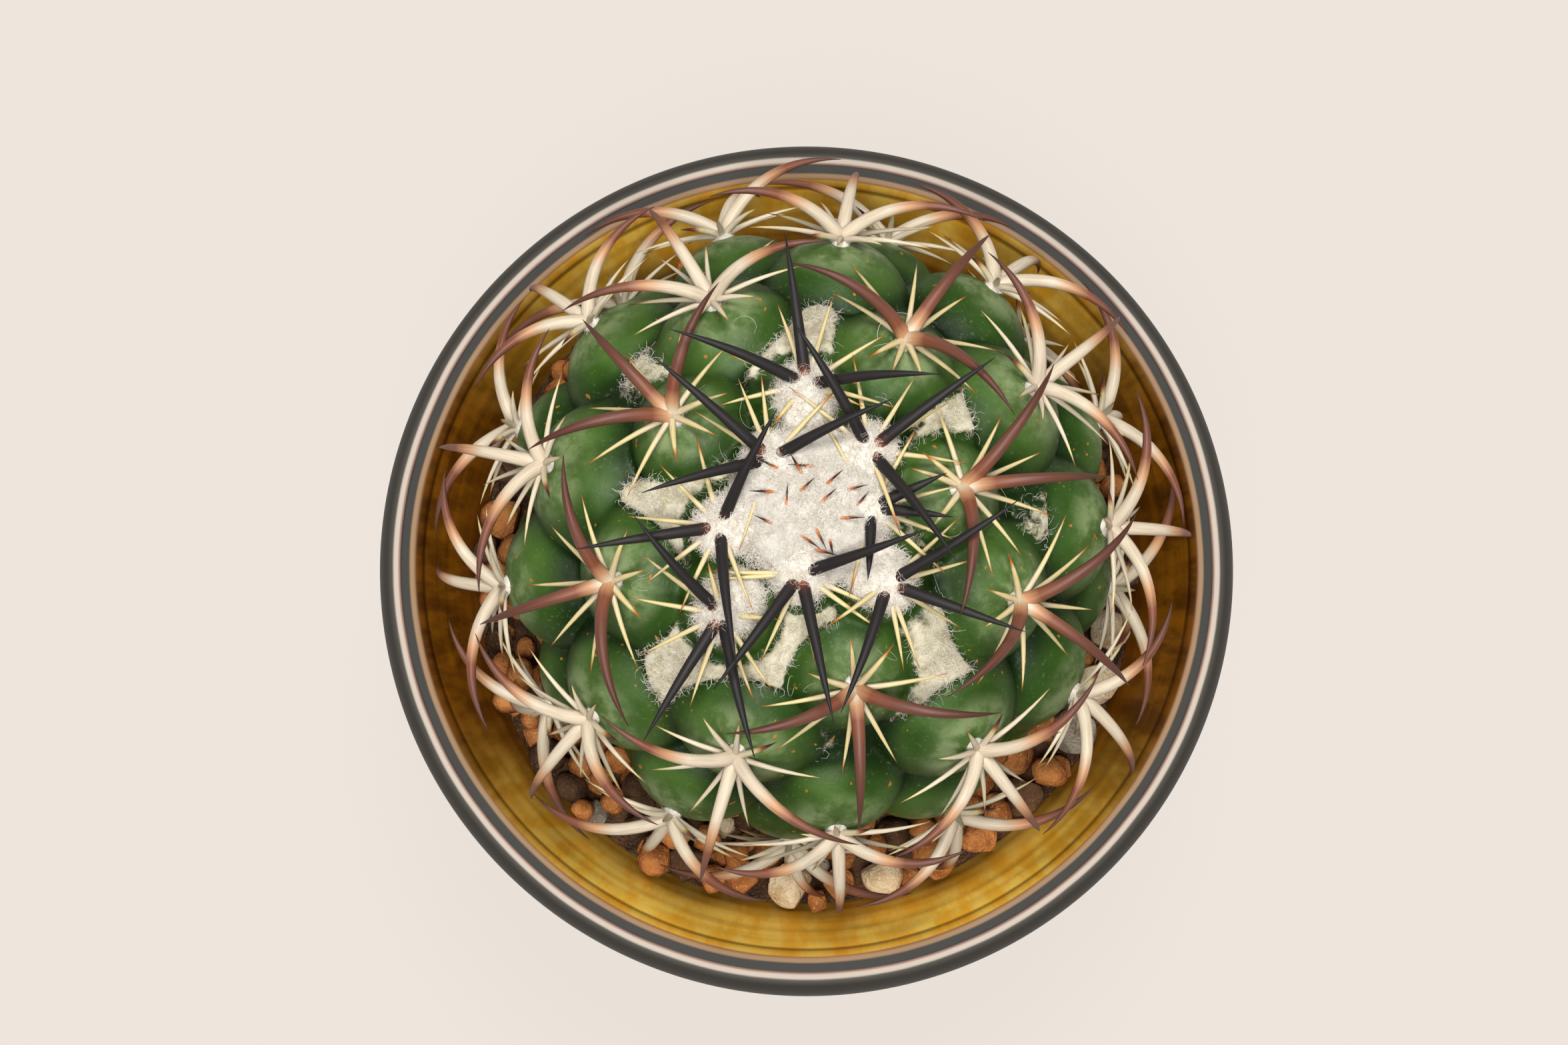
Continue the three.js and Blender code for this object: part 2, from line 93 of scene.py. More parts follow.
# Growth: one areole every golden angle or nearly, the youngest beside the apex
DIVERGENCE = 137.8
FIRST_AZIMUTH = 8 - 8 * DIVERGENCE
FIRST_DROP = 0.7
CROWN_STEP = 0.066
CROWN_POWER = 2.02
CROWN_AREOLES = 18
STEP_DOWN = 1.9
LEAST_SPACING = 13
GROWING_POINT_RADIUS = 9
TUBERCLES = 47
CLUSTERS = 38
TUBERCLE_ROUNDNESS = 0.68
WOOLLY_AREOLES = 8

# Areoles beside the apex stand this many degrees ahead of the spiral until they settle
AHEAD = (12, 8, 0, 5, 16)

# Which way the central spines of each of the first areoles point: degrees from straight outward
TURNS = (
    (27, -6, -94),
    (9, 69, -112),
    (22, 112, -29),
    (-9, 83, -104),
    (-3, 90, -128),
    (27, 83, -70),
    (6, 74, -100),
    (9, 58, -107),
    (-3, 48, -117),
    (-14, 50, -82),
    (-12, 72, -92),
    (-9, 106, -105),
    (-3, 88, -101),
    (-12, 64, -113),
    (7, 77, -107),
    (1, 88, -105),
)
USUAL_TURNS = (0, 96, -96)
TURN_SPREAD = 12

# Spines: lean from the areole's normal at root and tip, length and root radius
YOUNG_CENTRAL = (50, 82, 23, 1)
OLD_CENTRAL = (36, 112, 24, 1.15)
INNER_RADIAL = (66, 86, 9, 0.6)
OUTER_RADIAL = (76, 96, 14, 0.5)
FIRST_CENTRALS = 0.55
CENTRAL_SPREAD = 3
RADIAL_SPREAD = 2.5
RADIALS = 9
SPINE_STEPS = 4
LEAST_LEAN = 8
SPINE_GAP = 0.5
SKIN_GAP = 0.6
WOOL_GAP = 0.7
NEIGHBOURHOOD = 30
REACH = 68
GAP_REACH = 59
CROWN_WOOL_RADIUS = 5.6
WOOL_RADIUS = 3.3
AREOLE_RADIUS = 2.1
ROOT_HEIGHT = 0.4


def srgb(red, green, blue):
    """A colour given as 0 to 255 display values, in the linear light that shaders use."""
    def linear(value):
        share = value / 255
        return share / 12.92 if share <= 0.04045 else ((share + 0.055) / 1.055) ** 2.4
    return (linear(red), linear(green), linear(blue), 1)


def wobble(a, b):
    """A repeatable number from 0 to 1 for each pair of whole numbers."""
    value = math.sin(a * 12.9898 + b * 78.233) * 43758.5453
    return value - math.floor(value)


# ---- Camera, light and floor ----

VIEW_TILT = 6.1 * DEG
VIEW_DISTANCE = 0.600  # to the rim's centre
LENS_MM = 78
SENSOR_MM = 36
ASIDE = -0.0040  # the camera's own shift to its right and up
ABOVE = 0.0072
PALE = srgb(238, 229, 220)
SOFTBOX_SIZE = 0.45
SOFTBOX_WATTS = 16.5
SOFTBOX_COLOUR = (1, 0.99, 0.97)
SOFTBOX_SPOT = (0.05, 0.36, 1.38)  # of the northern one; the southern one stands opposite
SOFTBOX_AIM = (0, 0, 0.1)
WORLD_STRENGTH = 0.12
FLOOR_HALF_WIDTH = 3
FLOOR_GLOW = 0.90  # keeps the shadows on it faint


def linked(name, data):
    """An object of the scene around some data: a mesh, a light or a camera."""
    made = bpy.data.objects.new(name, data)
    bpy.context.scene.collection.objects.link(made)
    return made


def make_camera():
    camera = linked("camera", bpy.data.cameras.new("camera"))
    camera.data.lens = LENS_MM
    camera.data.sensor_width = SENSOR_MM
    camera.data.clip_start = 0.01
    camera.data.clip_end = 20
    camera.rotation_euler = (VIEW_TILT, 0, 0)
    turn = camera.rotation_euler.to_matrix()
    rim_centre = Vector((0, 0, POT_HEIGHT * MM))
    camera.location = rim_centre + turn @ Vector((ASIDE, ABOVE, VIEW_DISTANCE))
    bpy.context.scene.camera = camera


def softbox(name, spot):
    """A round soft light that looks down at the plant."""
    light = bpy.data.lights.new(name, "AREA")
    light.shape = "DISK"
    light.size = SOFTBOX_SIZE
    light.energy = SOFTBOX_WATTS
    light.color = SOFTBOX_COLOUR
    lamp = linked(name, light)
    lamp.location = spot
    aim = Vector(SOFTBOX_AIM) - Vector(spot)
    lamp.rotation_euler = aim.to_track_quat("-Z", "Y").to_euler()


def make_light():
    east, north, height = SOFTBOX_SPOT
    softbox("north_softbox", (east, north, height))
    softbox("south_softbox", (-east, -north, height))
    world = bpy.data.worlds.new("studio")
    world.use_nodes = True
    background = world.node_tree.nodes["Background"]
    background.inputs["Color"].default_value = PALE
    background.inputs["Strength"].default_value = WORLD_STRENGTH
    bpy.context.scene.world = world
    bpy.context.scene.view_settings.view_transform = "Standard"


def make_floor():
    bm = bmesh.new()
    bmesh.ops.create_grid(bm, x_segments=1, y_segments=1, size=FLOOR_HALF_WIDTH)
    floor = linked("floor", mesh_from(bm, "floor"))
    material, _, shader = new_material("pale_floor", 1, Specular_IOR_Level=0, Emission_Strength=FLOOR_GLOW)
    shader.inputs["Base Color"].default_value = srgb(66, 64, 62)
    shader.inputs["Emission Color"].default_value = PALE
    floor.data.materials.append(material)


# ---- Shader helpers ----

def place(tree, kind, inputs=(), **settings):
    """Adds a shader node, sets its properties, and fills or links its inputs."""
    made = tree.nodes.new("ShaderNode" + kind)
    for key, value in settings.items():
        setattr(made, key, value)
    for key, value in dict(inputs).items():
        if isinstance(value, bpy.types.NodeSocket):
            tree.links.new(value, made.inputs[key])
        else:
            made.inputs[key].default_value = value
    return made


def mixed(tree, share, low, high, blend="MIX"):
    """Two colours mixed by a share."""
    node = place(tree, "Mix", {0: share, 6: low, 7: high}, data_type="RGBA", blend_type=blend)
    return node.outputs[2]


def remapped(tree, value, low, high, to_low=0.0, to_high=1.0):
    inputs = {"Value": value, "From Min": low, "From Max": high, "To Min": to_low, "To Max": to_high}
    return place(tree, "MapRange", inputs, interpolation_type="SMOOTHSTEP").outputs[0]


def computed(tree, operation, a, b=0.0):
    return place(tree, "Math", {0: a, 1: b}, operation=operation).outputs[0]


def times(tree, a, b):
    return computed(tree, "MULTIPLY", a, b)


def vector(tree, x, y, z=0.0):
    return place(tree, "CombineXYZ", {"X": x, "Y": y, "Z": z}).outputs[0]


def noise(tree, where, scale, detail=3.0, roughness=0.5):
    inputs = {"Vector": where, "Scale": scale, "Detail": detail, "Roughness": roughness}
    return place(tree, "TexNoise", inputs).outputs["Fac"]


def coordinates(tree):
    return place(tree, "TexCoord").outputs["Object"]


def attribute(tree, name):
    return place(tree, "Attribute", attribute_name=name).outputs["Fac"]


def new_material(name, roughness=0.5, **sockets):
    """A material with its Principled shader; sockets are written with _ for spaces."""
    material = bpy.data.materials.new(name)
    material.use_nodes = True
    shader = material.node_tree.nodes["Principled BSDF"]
    shader.inputs["Roughness"].default_value = roughness
    for key, value in sockets.items():
        shader.inputs[key.replace("_", " ")].default_value = value
    return material, material.node_tree, shader


def new_group(name, inputs, outputs):
    """A node group for an effect that several materials share; all its sockets are plain numbers."""
    tree = bpy.data.node_groups.new(name, "ShaderNodeTree")
    for key, value in inputs.items():
        socket = tree.interface.new_socket(key, in_out="INPUT", socket_type="NodeSocketFloat")
        socket.default_value = value
    for key in outputs:
        tree.interface.new_socket(key, in_out="OUTPUT", socket_type="NodeSocketFloat")
    entry = tree.nodes.new("NodeGroupInput")
    way_out = tree.nodes.new("NodeGroupOutput")
    return tree, entry.outputs, way_out.inputs


def banded(tree, value, low, high, stops):
    """A colour ramp over a range of values, its stops given as (value, colour)."""
    inputs = {"Value": value, "From Min": low, "From Max": high}
    share = place(tree, "MapRange", inputs).outputs[0]
    node = place(tree, "ValToRGB", {"Fac": share})
    elements = node.color_ramp.elements
    while len(elements) < len(stops):
        elements.new(0.5)
    for element, (at, colour) in zip(elements, stops):
        element.position = (at - low) / (high - low)
        element.color = colour
    return node.outputs["Color"]


def dressed(material, colour, height, distance, strength):
    """A material with its colour and its bump."""
    tree = material.node_tree
    sockets = tree.nodes["Principled BSDF"].inputs
    bump = place(tree, "Bump", {"Height": height, "Distance": distance, "Strength": strength})
    tree.links.new(colour, sockets["Base Color"])
    tree.links.new(bump.outputs["Normal"], sockets["Normal"])
    return material


# ---- Mesh helpers ----

def piece(name, mesh, materials, slot, *nodes, smooth=True):
    """Makes a mesh an object of the model: on the body, and hides the CAD nodes it replaces. The slot is
    not used.
    """
    made = linked(name, mesh)
    for material in materials:
        mesh.materials.append(material)
    if smooth:
        mesh.shade_smooth()
    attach(made, "root")
    if nodes:
        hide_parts(*nodes)
    return made


def mesh_from(bm, name):
    mesh = bpy.data.meshes.new(name)
    bm.to_mesh(mesh)
    bm.free()
    return mesh


def get_points(mesh):
    flat = np.empty(len(mesh.vertices) * 3, np.float32)
    mesh.vertices.foreach_get("co", flat)
    return flat.reshape(-1, 3).astype(float)


def set_points(mesh, points):
    mesh.vertices.foreach_set("co", np.asarray(points, np.float32).ravel())
    mesh.update()


def set_values(mesh, name, values):
    layer = mesh.attributes.new(name, "FLOAT", "POINT")
    layer.data.foreach_set("value", np.asarray(values, np.float32).ravel())


def unit_ball(name, subdivisions):
    bm = bmesh.new()
    bmesh.ops.create_icosphere(bm, subdivisions=subdivisions, radius=1)
    return mesh_from(bm, name)


def unit_rows(vectors):
    """Vectors, one a row, scaled to a length of one."""
    return vectors / np.linalg.norm(vectors, axis=1)[:, None]


COPY_SPACING = 10


def copies(template, count):
    """One mesh that holds a template mesh many times over, copy after copy."""
    source = linked("template", template)
    array = source.modifiers.new("array", "ARRAY")
    array.count = count
    array.use_relative_offset = False
    array.use_constant_offset = True
    array.constant_offset_displace = (0, 0, COPY_SPACING)
    depsgraph = bpy.context.evaluated_depsgraph_get()
    mesh = bpy.data.meshes.new_from_object(source.evaluated_get(depsgraph))
    bpy.data.objects.remove(source)
    return mesh


FULL_TURN = 6.28  # in radians, near enough for a turn that is random anyway
LUMP_WAVES = 5


def lumpy(points, seed, depth):
    """Pushes unit points in and out in a few smooth waves, each finer and weaker than the last."""
    unit = unit_rows(points)
    waves = np.zeros(len(points))
    for k in range(LUMP_WAVES):
        way = np.array([wobble(seed, 3 * k + j) - 0.5 for j in range(3)]) * (5 + 2.5 * k)
        waves += np.sin(unit @ way + FULL_TURN * wobble(seed, 40 + k)) / (1.3 + k)
    return unit * (1 + depth * waves)[:, None]


def faceted(points, seed, sides, depth):
    """Wears flat faces onto unit points, as on a broken and tumbled stone."""
    for k in range(sides):
        way = np.array([wobble(seed, 5 * k + j) - 0.5 for j in range(3)])
        way /= np.linalg.norm(way)
        over = np.maximum(points @ way - (1 - depth * (0.4 + 0.6 * wobble(seed, 5 * k + 4))), 0)
        points = points - np.outer(over * 0.9, way)
    return points


def unit_rod(name, sides, steps, tip=1, fanned=False):
    """A straight rod one long and one in radius, along Z, with rings to bend it by."""
    bm = bmesh.new()
    bmesh.ops.create_cone(
        bm, cap_ends=True, cap_tris=fanned, segments=sides, radius1=1, radius2=tip, depth=1,
    )
    bmesh.ops.translate(bm, verts=bm.verts, vec=(0, 0, 0.5))
    long_edges = [e for e in bm.edges if abs(e.verts[0].co.z - e.verts[1].co.z) > 0.5]
    bmesh.ops.subdivide_edges(bm, edges=long_edges, cuts=steps - 1, use_grid_fill=True)
    bmesh.ops.recalc_face_normals(bm, faces=bm.faces)
    return mesh_from(bm, name)


def turned(profile, steps, name):
    """Spins a closed profile of (radius, height) points, in millimetres, about the Z axis."""
    bm = bmesh.new()
    corners = [bm.verts.new((radius * MM, 0, height * MM)) for radius, height in profile]
    for i, corner in enumerate(corners):
        bm.edges.new((corner, corners[(i + 1) % len(corners)]))
    bmesh.ops.spin(
        bm, geom=bm.verts[:] + bm.edges[:], cent=(0, 0, 0), axis=(0, 0, 1),
        angle=2 * math.pi, steps=steps, use_merge=True, use_duplicate=False,
    )
    bmesh.ops.remove_doubles(bm, verts=bm.verts, dist=1e-6)
    bmesh.ops.recalc_face_normals(bm, faces=bm.faces)
    return mesh_from(bm, name)


# ---- Growth rule ----

def envelope(polar, azimuth):
    rise = CROWN_RISE if polar < math.pi / 2 else BASE_DROP
    around = np.array([math.cos(azimuth), math.sin(azimuth), 0])
    point = AXIS + around * STEM_RADIUS * math.sin(polar) + np.array([0, 0, rise * math.cos(polar)])
    normal = around * math.sin(polar) / STEM_RADIUS + np.array([0, 0, math.cos(polar) / rise])
    return point, normal / np.linalg.norm(normal), around


def drop_of_areole(index):
    def crown(i):
        return FIRST_DROP + CROWN_STEP * max(i, 0) ** CROWN_POWER
    if index <= CROWN_AREOLES:
        return crown(index)
    return crown(CROWN_AREOLES) + (index - CROWN_AREOLES) * STEP_DOWN


class Areole:
    """A tubercle's tip, with its outward normal and the directions away from the apex and to its side."""

    def __init__(self, index):
        drop = drop_of_areole(index)
        below = CROWN_RISE if drop < CROWN_RISE else BASE_DROP
        polar = math.acos((CROWN_RISE - drop) / below)
        self.index = index
        ahead = AHEAD[index] if index < len(AHEAD) else 0
        azimuth = (FIRST_AZIMUTH + index * DIVERGENCE + ahead) * DEG
        self.point, self.normal, around = envelope(polar, azimuth)
        self.side = np.cross((0, 0, 1), around)
        self.away = np.cross(self.side, self.normal)
        step_here = drop_of_areole(index + 0.5) - drop_of_areole(index - 0.5)
        hexagon = 2 / math.sqrt(3)
        spacing = max(math.sqrt(2 * math.pi * STEM_RADIUS * step_here * hexagon), LEAST_SPACING)
        self.radius = TUBERCLE_ROUNDNESS * spacing
        self.centre = self.point - self.normal * self.radius
        self.cushion = WOOL_RADIUS if index < WOOLLY_AREOLES else AREOLE_RADIUS


APEX = envelope(0, 0)[0]
AREOLES = [Areole(index) for index in range(TUBERCLES)]
TIPS = np.array([a.point for a in AREOLES] + [APEX])
DOME_RADII = np.array([a.radius for a in AREOLES] + [GROWING_POINT_RADIUS])


class Spine:
    """A spine leaves its areole at a lean from the normal and bends over to a larger lean at its tip."""

    def __init__(self, home, turn, kind, lift, share):
        from_lean, to_lean, length, radius = kind
        self.home = home
        self.length = length * share
        self.radius = radius
        self.from_lean = max(from_lean + lift, LEAST_LEAN) * DEG
        self.to_lean = (to_lean + lift) * DEG
        self.heading = home.away * math.cos(turn * DEG) + home.side * math.sin(turn * DEG)
        self.root = home.point + home.normal * ROOT_HEIGHT
        shares = np.linspace(0, 1, SPINE_STEPS + 1)
        self.samples = self.points(shares)
        self.sample_radii = self.thickness(shares)

    def lean(self, shares):
        return self.from_lean + (self.to_lean - self.from_lean) * shares

    def points(self, shares):
        bend = self.length / (self.to_lean - self.from_lean)
        lean = self.lean(shares)
        out = bend * (math.cos(self.from_lean) - np.cos(lean))
        up = bend * (np.sin(lean) - math.sin(self.from_lean))
        return self.root + np.outer(out, self.heading) + np.outer(up, self.home.normal)

    def thickness(self, shares):
        """Full for half its length, then drawn to a point."""
        return self.radius * np.power(1 - np.power(shares, 2.2), 0.9)


def stretch_distances(a0, a1, b0, b1):
    """The least distance of each stretch a from each stretch b."""
    a0, u = a0[:, None], (a1 - a0)[:, None]
    b0, v = b0[None], (b1 - b0)[None]
    w = a0 - b0
    uu, uv, vv = (u * u).sum(-1), (u * v).sum(-1), (v * v).sum(-1)
    uw, vw = (u * w).sum(-1), (v * w).sum(-1)
    across = np.maximum(uu * vv - uv * uv, 1e-9)
    s = np.clip((uv * vw - vv * uw) / across, 0, 1)
    t = np.clip((uv * s + vw) / vv, 0, 1)
    s = np.clip((uv * t - uw) / uu, 0, 1)
    return np.linalg.norm(w + u * s[..., None] - v * t[..., None], axis=-1)


def clear_of_pot(spine):
    at, radii = spine.samples[1:], spine.sample_radii[1:]
    out = np.hypot(at[:, 0], at[:, 1]) + radii
    lowest = at[:, 2] - radii
    limit = np.where(lowest > POT_HEIGHT + 2, REACH, GAP_REACH)
    return bool(np.all(out < limit) and np.all(lowest > STONE_TOP))


def clear_of_tubercles(spine):
    others = [a for a in AREOLES if a is not spine.home]
    centres = np.array([a.centre for a in others])
    radii = np.array([a.radius for a in others])
    at = spine.samples[1:]
    apart = np.linalg.norm(at[:, None] - centres[None], axis=-1)
    return bool(np.all(apart > radii[None] + spine.sample_radii[1:, None] + SKIN_GAP))


def clear_of_wool(spine):
    others = [a for a in AREOLES[:CLUSTERS] if a is not spine.home]
    places = np.array([a.point for a in others] + [APEX])
    bulk = np.array([a.cushion for a in others] + [CROWN_WOOL_RADIUS])
    apart = np.linalg.norm(spine.samples[:, None] - places[None], axis=-1)
    return bool(np.all(apart > bulk[None] + spine.sample_radii[:, None] + WOOL_GAP))


def clear_of_spines(spine, grown):
    middle = spine.samples[SPINE_STEPS // 2]
    near = [
        other for other in grown
        if other.home is not spine.home
        and np.linalg.norm(middle - other.samples[SPINE_STEPS // 2]) <= NEIGHBOURHOOD
    ]
    if not near:
        return True
    starts = np.concatenate([other.samples[:-1] for other in near])
    ends = np.concatenate([other.samples[1:] for other in near])
    radii = np.concatenate([other.sample_radii[:-1] for other in near])
    apart = stretch_distances(spine.samples[:-1], spine.samples[1:], starts, ends)
    return bool(np.all(apart >= spine.sample_radii[:-1, None] + radii[None] + SPINE_GAP))


LIFTS = (0, -7, 7, -14, 14, -21, -28)
SWINGS = (0, 8, -8, 16, -16, 24, -24)
SHORTER = (1, 0.85, 0.7, 0.55)


def grow_spine(home, turn, kind, grown):
    """Spines grow round one another: each takes the first free way near its own direction."""
    for share in SHORTER:
        for lift in LIFTS:
            for swing in SWINGS:
                spine = Spine(home, turn + swing, kind, lift, share)
                if not clear_of_pot(spine) or not clear_of_wool(spine):
                    continue
                if clear_of_tubercles(spine) and clear_of_spines(spine, grown):
                    grown.append(spine)
                    return


def grow_centrals(home, grown):
    n = home.index
    kind = YOUNG_CENTRAL if n < WOOLLY_AREOLES else OLD_CENTRAL
    for k, usual in enumerate(USUAL_TURNS):
        turn = TURNS[n][k] if n < len(TURNS) else usual + TURN_SPREAD * (2 * wobble(n, k) - 1)
        length = (kind[2] + CENTRAL_SPREAD * wobble(n, k + 10)) * (FIRST_CENTRALS if n == 0 else 1)
        grow_spine(home, turn, (*kind[:2], length, kind[3]), grown)


def grow_radials(home, grown):
    n = home.index
    for k in range(RADIALS):
        turn = (360 / RADIALS) * (k + 0.5) + (TURN_SPREAD / 2) * (2 * wobble(n, k + 20) - 1)
        kind = INNER_RADIAL if math.cos(turn * DEG) < -0.6 else OUTER_RADIAL
        length = kind[2] + RADIAL_SPREAD * wobble(n, k + 30)
        grow_spine(home, turn, (*kind[:2], length, kind[3]), grown)


def grow_all():
    grown = []
    for home in AREOLES[:CLUSTERS]:
        grow_centrals(home, grown)
    for home in AREOLES[:CLUSTERS]:
        grow_radials(home, grown)
    return grown


def crease_depths(points):
    """How far the skin lies below the envelope: round tubercles that meet in soft creases."""
    softness = 0.3
    total = np.zeros(len(points))
    for tip, radius in zip(TIPS, DOME_RADII):
        distance = np.minimum(np.linalg.norm(points - tip, axis=1), radius)
        depth = radius - np.sqrt(np.maximum(radius * radius - distance * distance, 0))
        total += np.exp(-np.minimum(depth, DEEPEST_CREASE + 2) / softness)
    return np.minimum(-softness * np.log(np.maximum(total, 1e-30)), DEEPEST_CREASE)


# ---- Stem ----

DRIFT_DEPTH = 2.4  # how far a full drift of wool stays below the envelope
DRIFT_FILLING = 2.4  # how soon a hollow counts as full of wool
WOOL_ENDS = 60 * DEG  # from the apex
WOOL_FADING = 26 * DEG
WOOL_LEAST_DEPTH = 3.0  # of a crease that holds wool, at the apex
WOOL_SINKING = 1.9  # how much deeper that gets with each radian from the apex
WOOL_DEPTH_RANGE = 2.2
STEM_AROUND = 360
STEM_DOWN = 220


def stem_surface(polar, azimuth):
    """Points of the stem's skin, with the crease depth at each."""
    rise = np.where(polar < math.pi / 2, CROWN_RISE, BASE_DROP)
    sine, cosine = np.sin(polar), np.cos(polar)
    around = np.stack([np.cos(azimuth), np.sin(azimuth), np.zeros_like(azimuth)], axis=1)
    up = np.zeros_like(around)
    up[:, 2] = 1
    point = AXIS + around * (STEM_RADIUS * sine)[:, None] + up * (rise * cosine)[:, None]
    normal = around * (sine / STEM_RADIUS)[:, None] + up * (cosine / rise)[:, None]
    normal = unit_rows(normal)
    depth = crease_depths(point)
    buried = np.clip((SOIL_TOP + COLLAR_HEIGHT - point[:, 2]) / COLLAR_HEIGHT, 0, 1)
    buried = buried * buried * (3 - 2 * buried)
    inset = depth * (1 - buried) + STUB_INSET * buried
    return point - normal * inset[:, None], depth, normal


def felt_share(points, depth, polar):
    """Where cobweb wool lies: drifts of it in the hollows between the younger tubercles."""
    x, y = points[:, 0], points[:, 1]
    drift = np.sin(x * 0.31 + 1.7) + np.sin(y * 0.27 + 0.4) + np.sin((x - y) * 0.19)
    fading = np.clip((WOOL_ENDS - polar) / WOOL_FADING, 0, 1)
    hollow = np.clip((depth - WOOL_LEAST_DEPTH - WOOL_SINKING * polar) / WOOL_DEPTH_RANGE, 0, 1)
    return hollow * fading * np.clip(0.45 + 0.4 * drift, 0, 1)


def with_drifts(skin, depth, normal, felt):
    """The skin with the wool that lies on it: a drift fills its hollow nearly to the tubercles' tops."""
    fill = np.clip(felt * DRIFT_FILLING, 0, 1) * np.maximum(depth - DRIFT_DEPTH, 0)
    return skin + normal * fill[:, None]


def make_stem(material):
    bm = bmesh.new()
    bmesh.ops.create_uvsphere(bm, u_segments=STEM_AROUND, v_segments=STEM_DOWN, radius=1)
    mesh = mesh_from(bm, "stem_body")
    unit = get_points(mesh)
    polar = np.arccos(np.clip(unit[:, 2], -1, 1))
    azimuth = np.arctan2(unit[:, 1], unit[:, 0])
    skin, depth, normal = stem_surface(polar, azimuth)
    felt = felt_share(skin, depth, polar)
    points = with_drifts(skin, depth, normal, felt)
    points[:, 2] = np.maximum(points[:, 2], STUB_BOTTOM)
    set_points(mesh, points * MM)
    set_values(mesh, "crease", depth / DEEPEST_CREASE)
    set_values(mesh, "felt", felt)
    return piece("stem_body", mesh, [material], "stem_skin", "stem")


def skin_material():
    """Green flesh with a grey-green bloom on the tubercles' tops, and painted shade that darkens it nearly
    to black in the creases.
    """
    material, tree, shader = new_material("cactus_skin", 0.5, Specular_IOR_Level=0.2)
    where = coordinates(tree)
    crease = attribute(tree, "crease")
    broad = noise(tree, where, 60, 3)
    patch = noise(tree, where, 210, 5, 0.6)
    speck = noise(tree, where, 1500, 2)
    bloom = mixed(tree, remapped(tree, patch, 0.38, 0.62), srgb(118, 134, 92), srgb(68, 92, 42))
    flesh = mixed(tree, remapped(tree, broad, 0.4, 0.62), srgb(40, 68, 18), srgb(62, 90, 34))
    open_skin = mixed(tree, remapped(tree, crease, 0.03, 0.3), bloom, flesh)
    # Painted shade: the deeper the crease, the darker the skin
    painted_crease_shade = mixed(tree, remapped(tree, crease, 0.27, 0.7), open_skin, srgb(18, 40, 8))
    spotted = mixed(tree, remapped(tree, speck, 0.6, 0.75, 0, 0.2), painted_crease_shade, srgb(126, 138, 92))
    rusty = remapped(tree, noise(tree, where, 620, 1), 0.735, 0.76, 0, 0.8)
    marked = mixed(tree, rusty, spotted, srgb(168, 112, 36))
    woolly = remapped(tree, attribute(tree, "felt"), 0.02, 0.15)
    cotton = noise(tree, where, 380, 5, 0.65)
    ragged = times(tree, computed(tree, "SUBTRACT", cotton, 0.5), 1.1)
    felted = remapped(tree, computed(tree, "ADD", attribute(tree, "felt"), ragged), 0.16, 0.44, 0, 0.9)
    drift = mixed(tree, remapped(tree, cotton, 0.35, 0.62), srgb(160, 152, 122), srgb(202, 194, 170))
    colour = mixed(tree, times(tree, felted, woolly), marked, drift)
    tree.links.new(remapped(tree, patch, 0.3, 0.7, 0.4, 0.62), shader.inputs["Roughness"])
    fine = noise(tree, where, 2600, 2)
    height = computed(tree, "ADD", times(tree, fine, 0.2), patch)
    return dressed(material, colour, height, 0.0004, 0.5)


# ---- Spines ----

TIP_RADIUS = 0.04
BULB = 0.18  # how much thicker a spine is at its root
BULB_REACH = 0.12  # as a share of its length
CENTRAL_MESH = (12, 20)  # sides and steps
RADIAL_MESH = (7, 8)
BROWN_AREOLES = 14  # the centrals before this one are brown nearly to the root, and later ones pale


def bent(spine, unit):
    """The unit spine's points along a real spine's arc, and how far along each is."""
    shares = np.clip(unit[:, 2], 0, 1)
    lean = spine.lean(shares)
    normal, heading = spine.home.normal, spine.heading
    across = np.cross(heading, normal)
    along = np.outer(np.sin(lean), heading) + np.outer(np.cos(lean), normal)
    depth = np.cross(across, along)
    thickness = np.maximum(spine.thickness(shares), TIP_RADIUS)
    bulb = 1 + BULB * np.exp(-((shares / BULB_REACH) ** 2))
    wide = (unit[:, 0] * thickness * bulb)[:, None]
    deep = (unit[:, 1] * thickness * bulb)[:, None]
    return spine.points(shares) + across * wide + depth * deep, shares


def spines_mesh(spines, sides, steps, name):
    template = unit_rod("unit_spine", sides, steps)
    unit = get_points(template)
    mesh = copies(template, len(spines))
    mesh.name = name
    bent_points = [bent(spine, unit) for spine in spines]
    set_points(mesh, np.concatenate([points for points, _ in bent_points]) * MM)
    around = np.arctan2(unit[:, 1], unit[:, 0]) / (2 * math.pi) + 0.5
    set_values(mesh, "along", np.concatenate([shares for _, shares in bent_points]))
    set_values(mesh, "around", np.tile(around, len(spines)))
    set_values(mesh, "which", np.repeat([wobble(i, 77) for i in range(len(spines))], len(unit)))
    return mesh


def spine_grain_group():
    """Along a spine with its own small shift, and the fine streaks that run down it."""
    tree, given, result = new_group("spine_grain", {"Jitter": 0.12}, ("Along", "Streak"))
    which = attribute(tree, "which")
    along = attribute(tree, "along")
    shift = times(tree, computed(tree, "SUBTRACT", which, 0.5), given["Jitter"])
    tree.links.new(computed(tree, "ADD", along, shift), result["Along"])
    around = times(tree, attribute(tree, "around"), 14)
    where = vector(tree, around, times(tree, along, 3), times(tree, which, 50))
    tree.links.new(noise(tree, where, 1.6, 3), result["Streak"])
    return tree


def spine_material(grain, name, roughness, jitter, stops):
    """Horn that runs through the given colours from base to tip."""
    material, tree, _ = new_material(name, roughness, Specular_IOR_Level=0.25)
    own = place(tree, "Group", {"Jitter": jitter}, node_tree=grain).outputs
    colour = banded(tree, own["Along"], 0, 1, stops)
    darker = mixed(tree, 1.0, colour, (0.84, 0.79, 0.74, 1), "MULTIPLY")
    streaked = mixed(tree, remapped(tree, own["Streak"], 0.45, 0.7), colour, darker)
    return dressed(material, streaked, own["Streak"], 0.0001, 0.5)


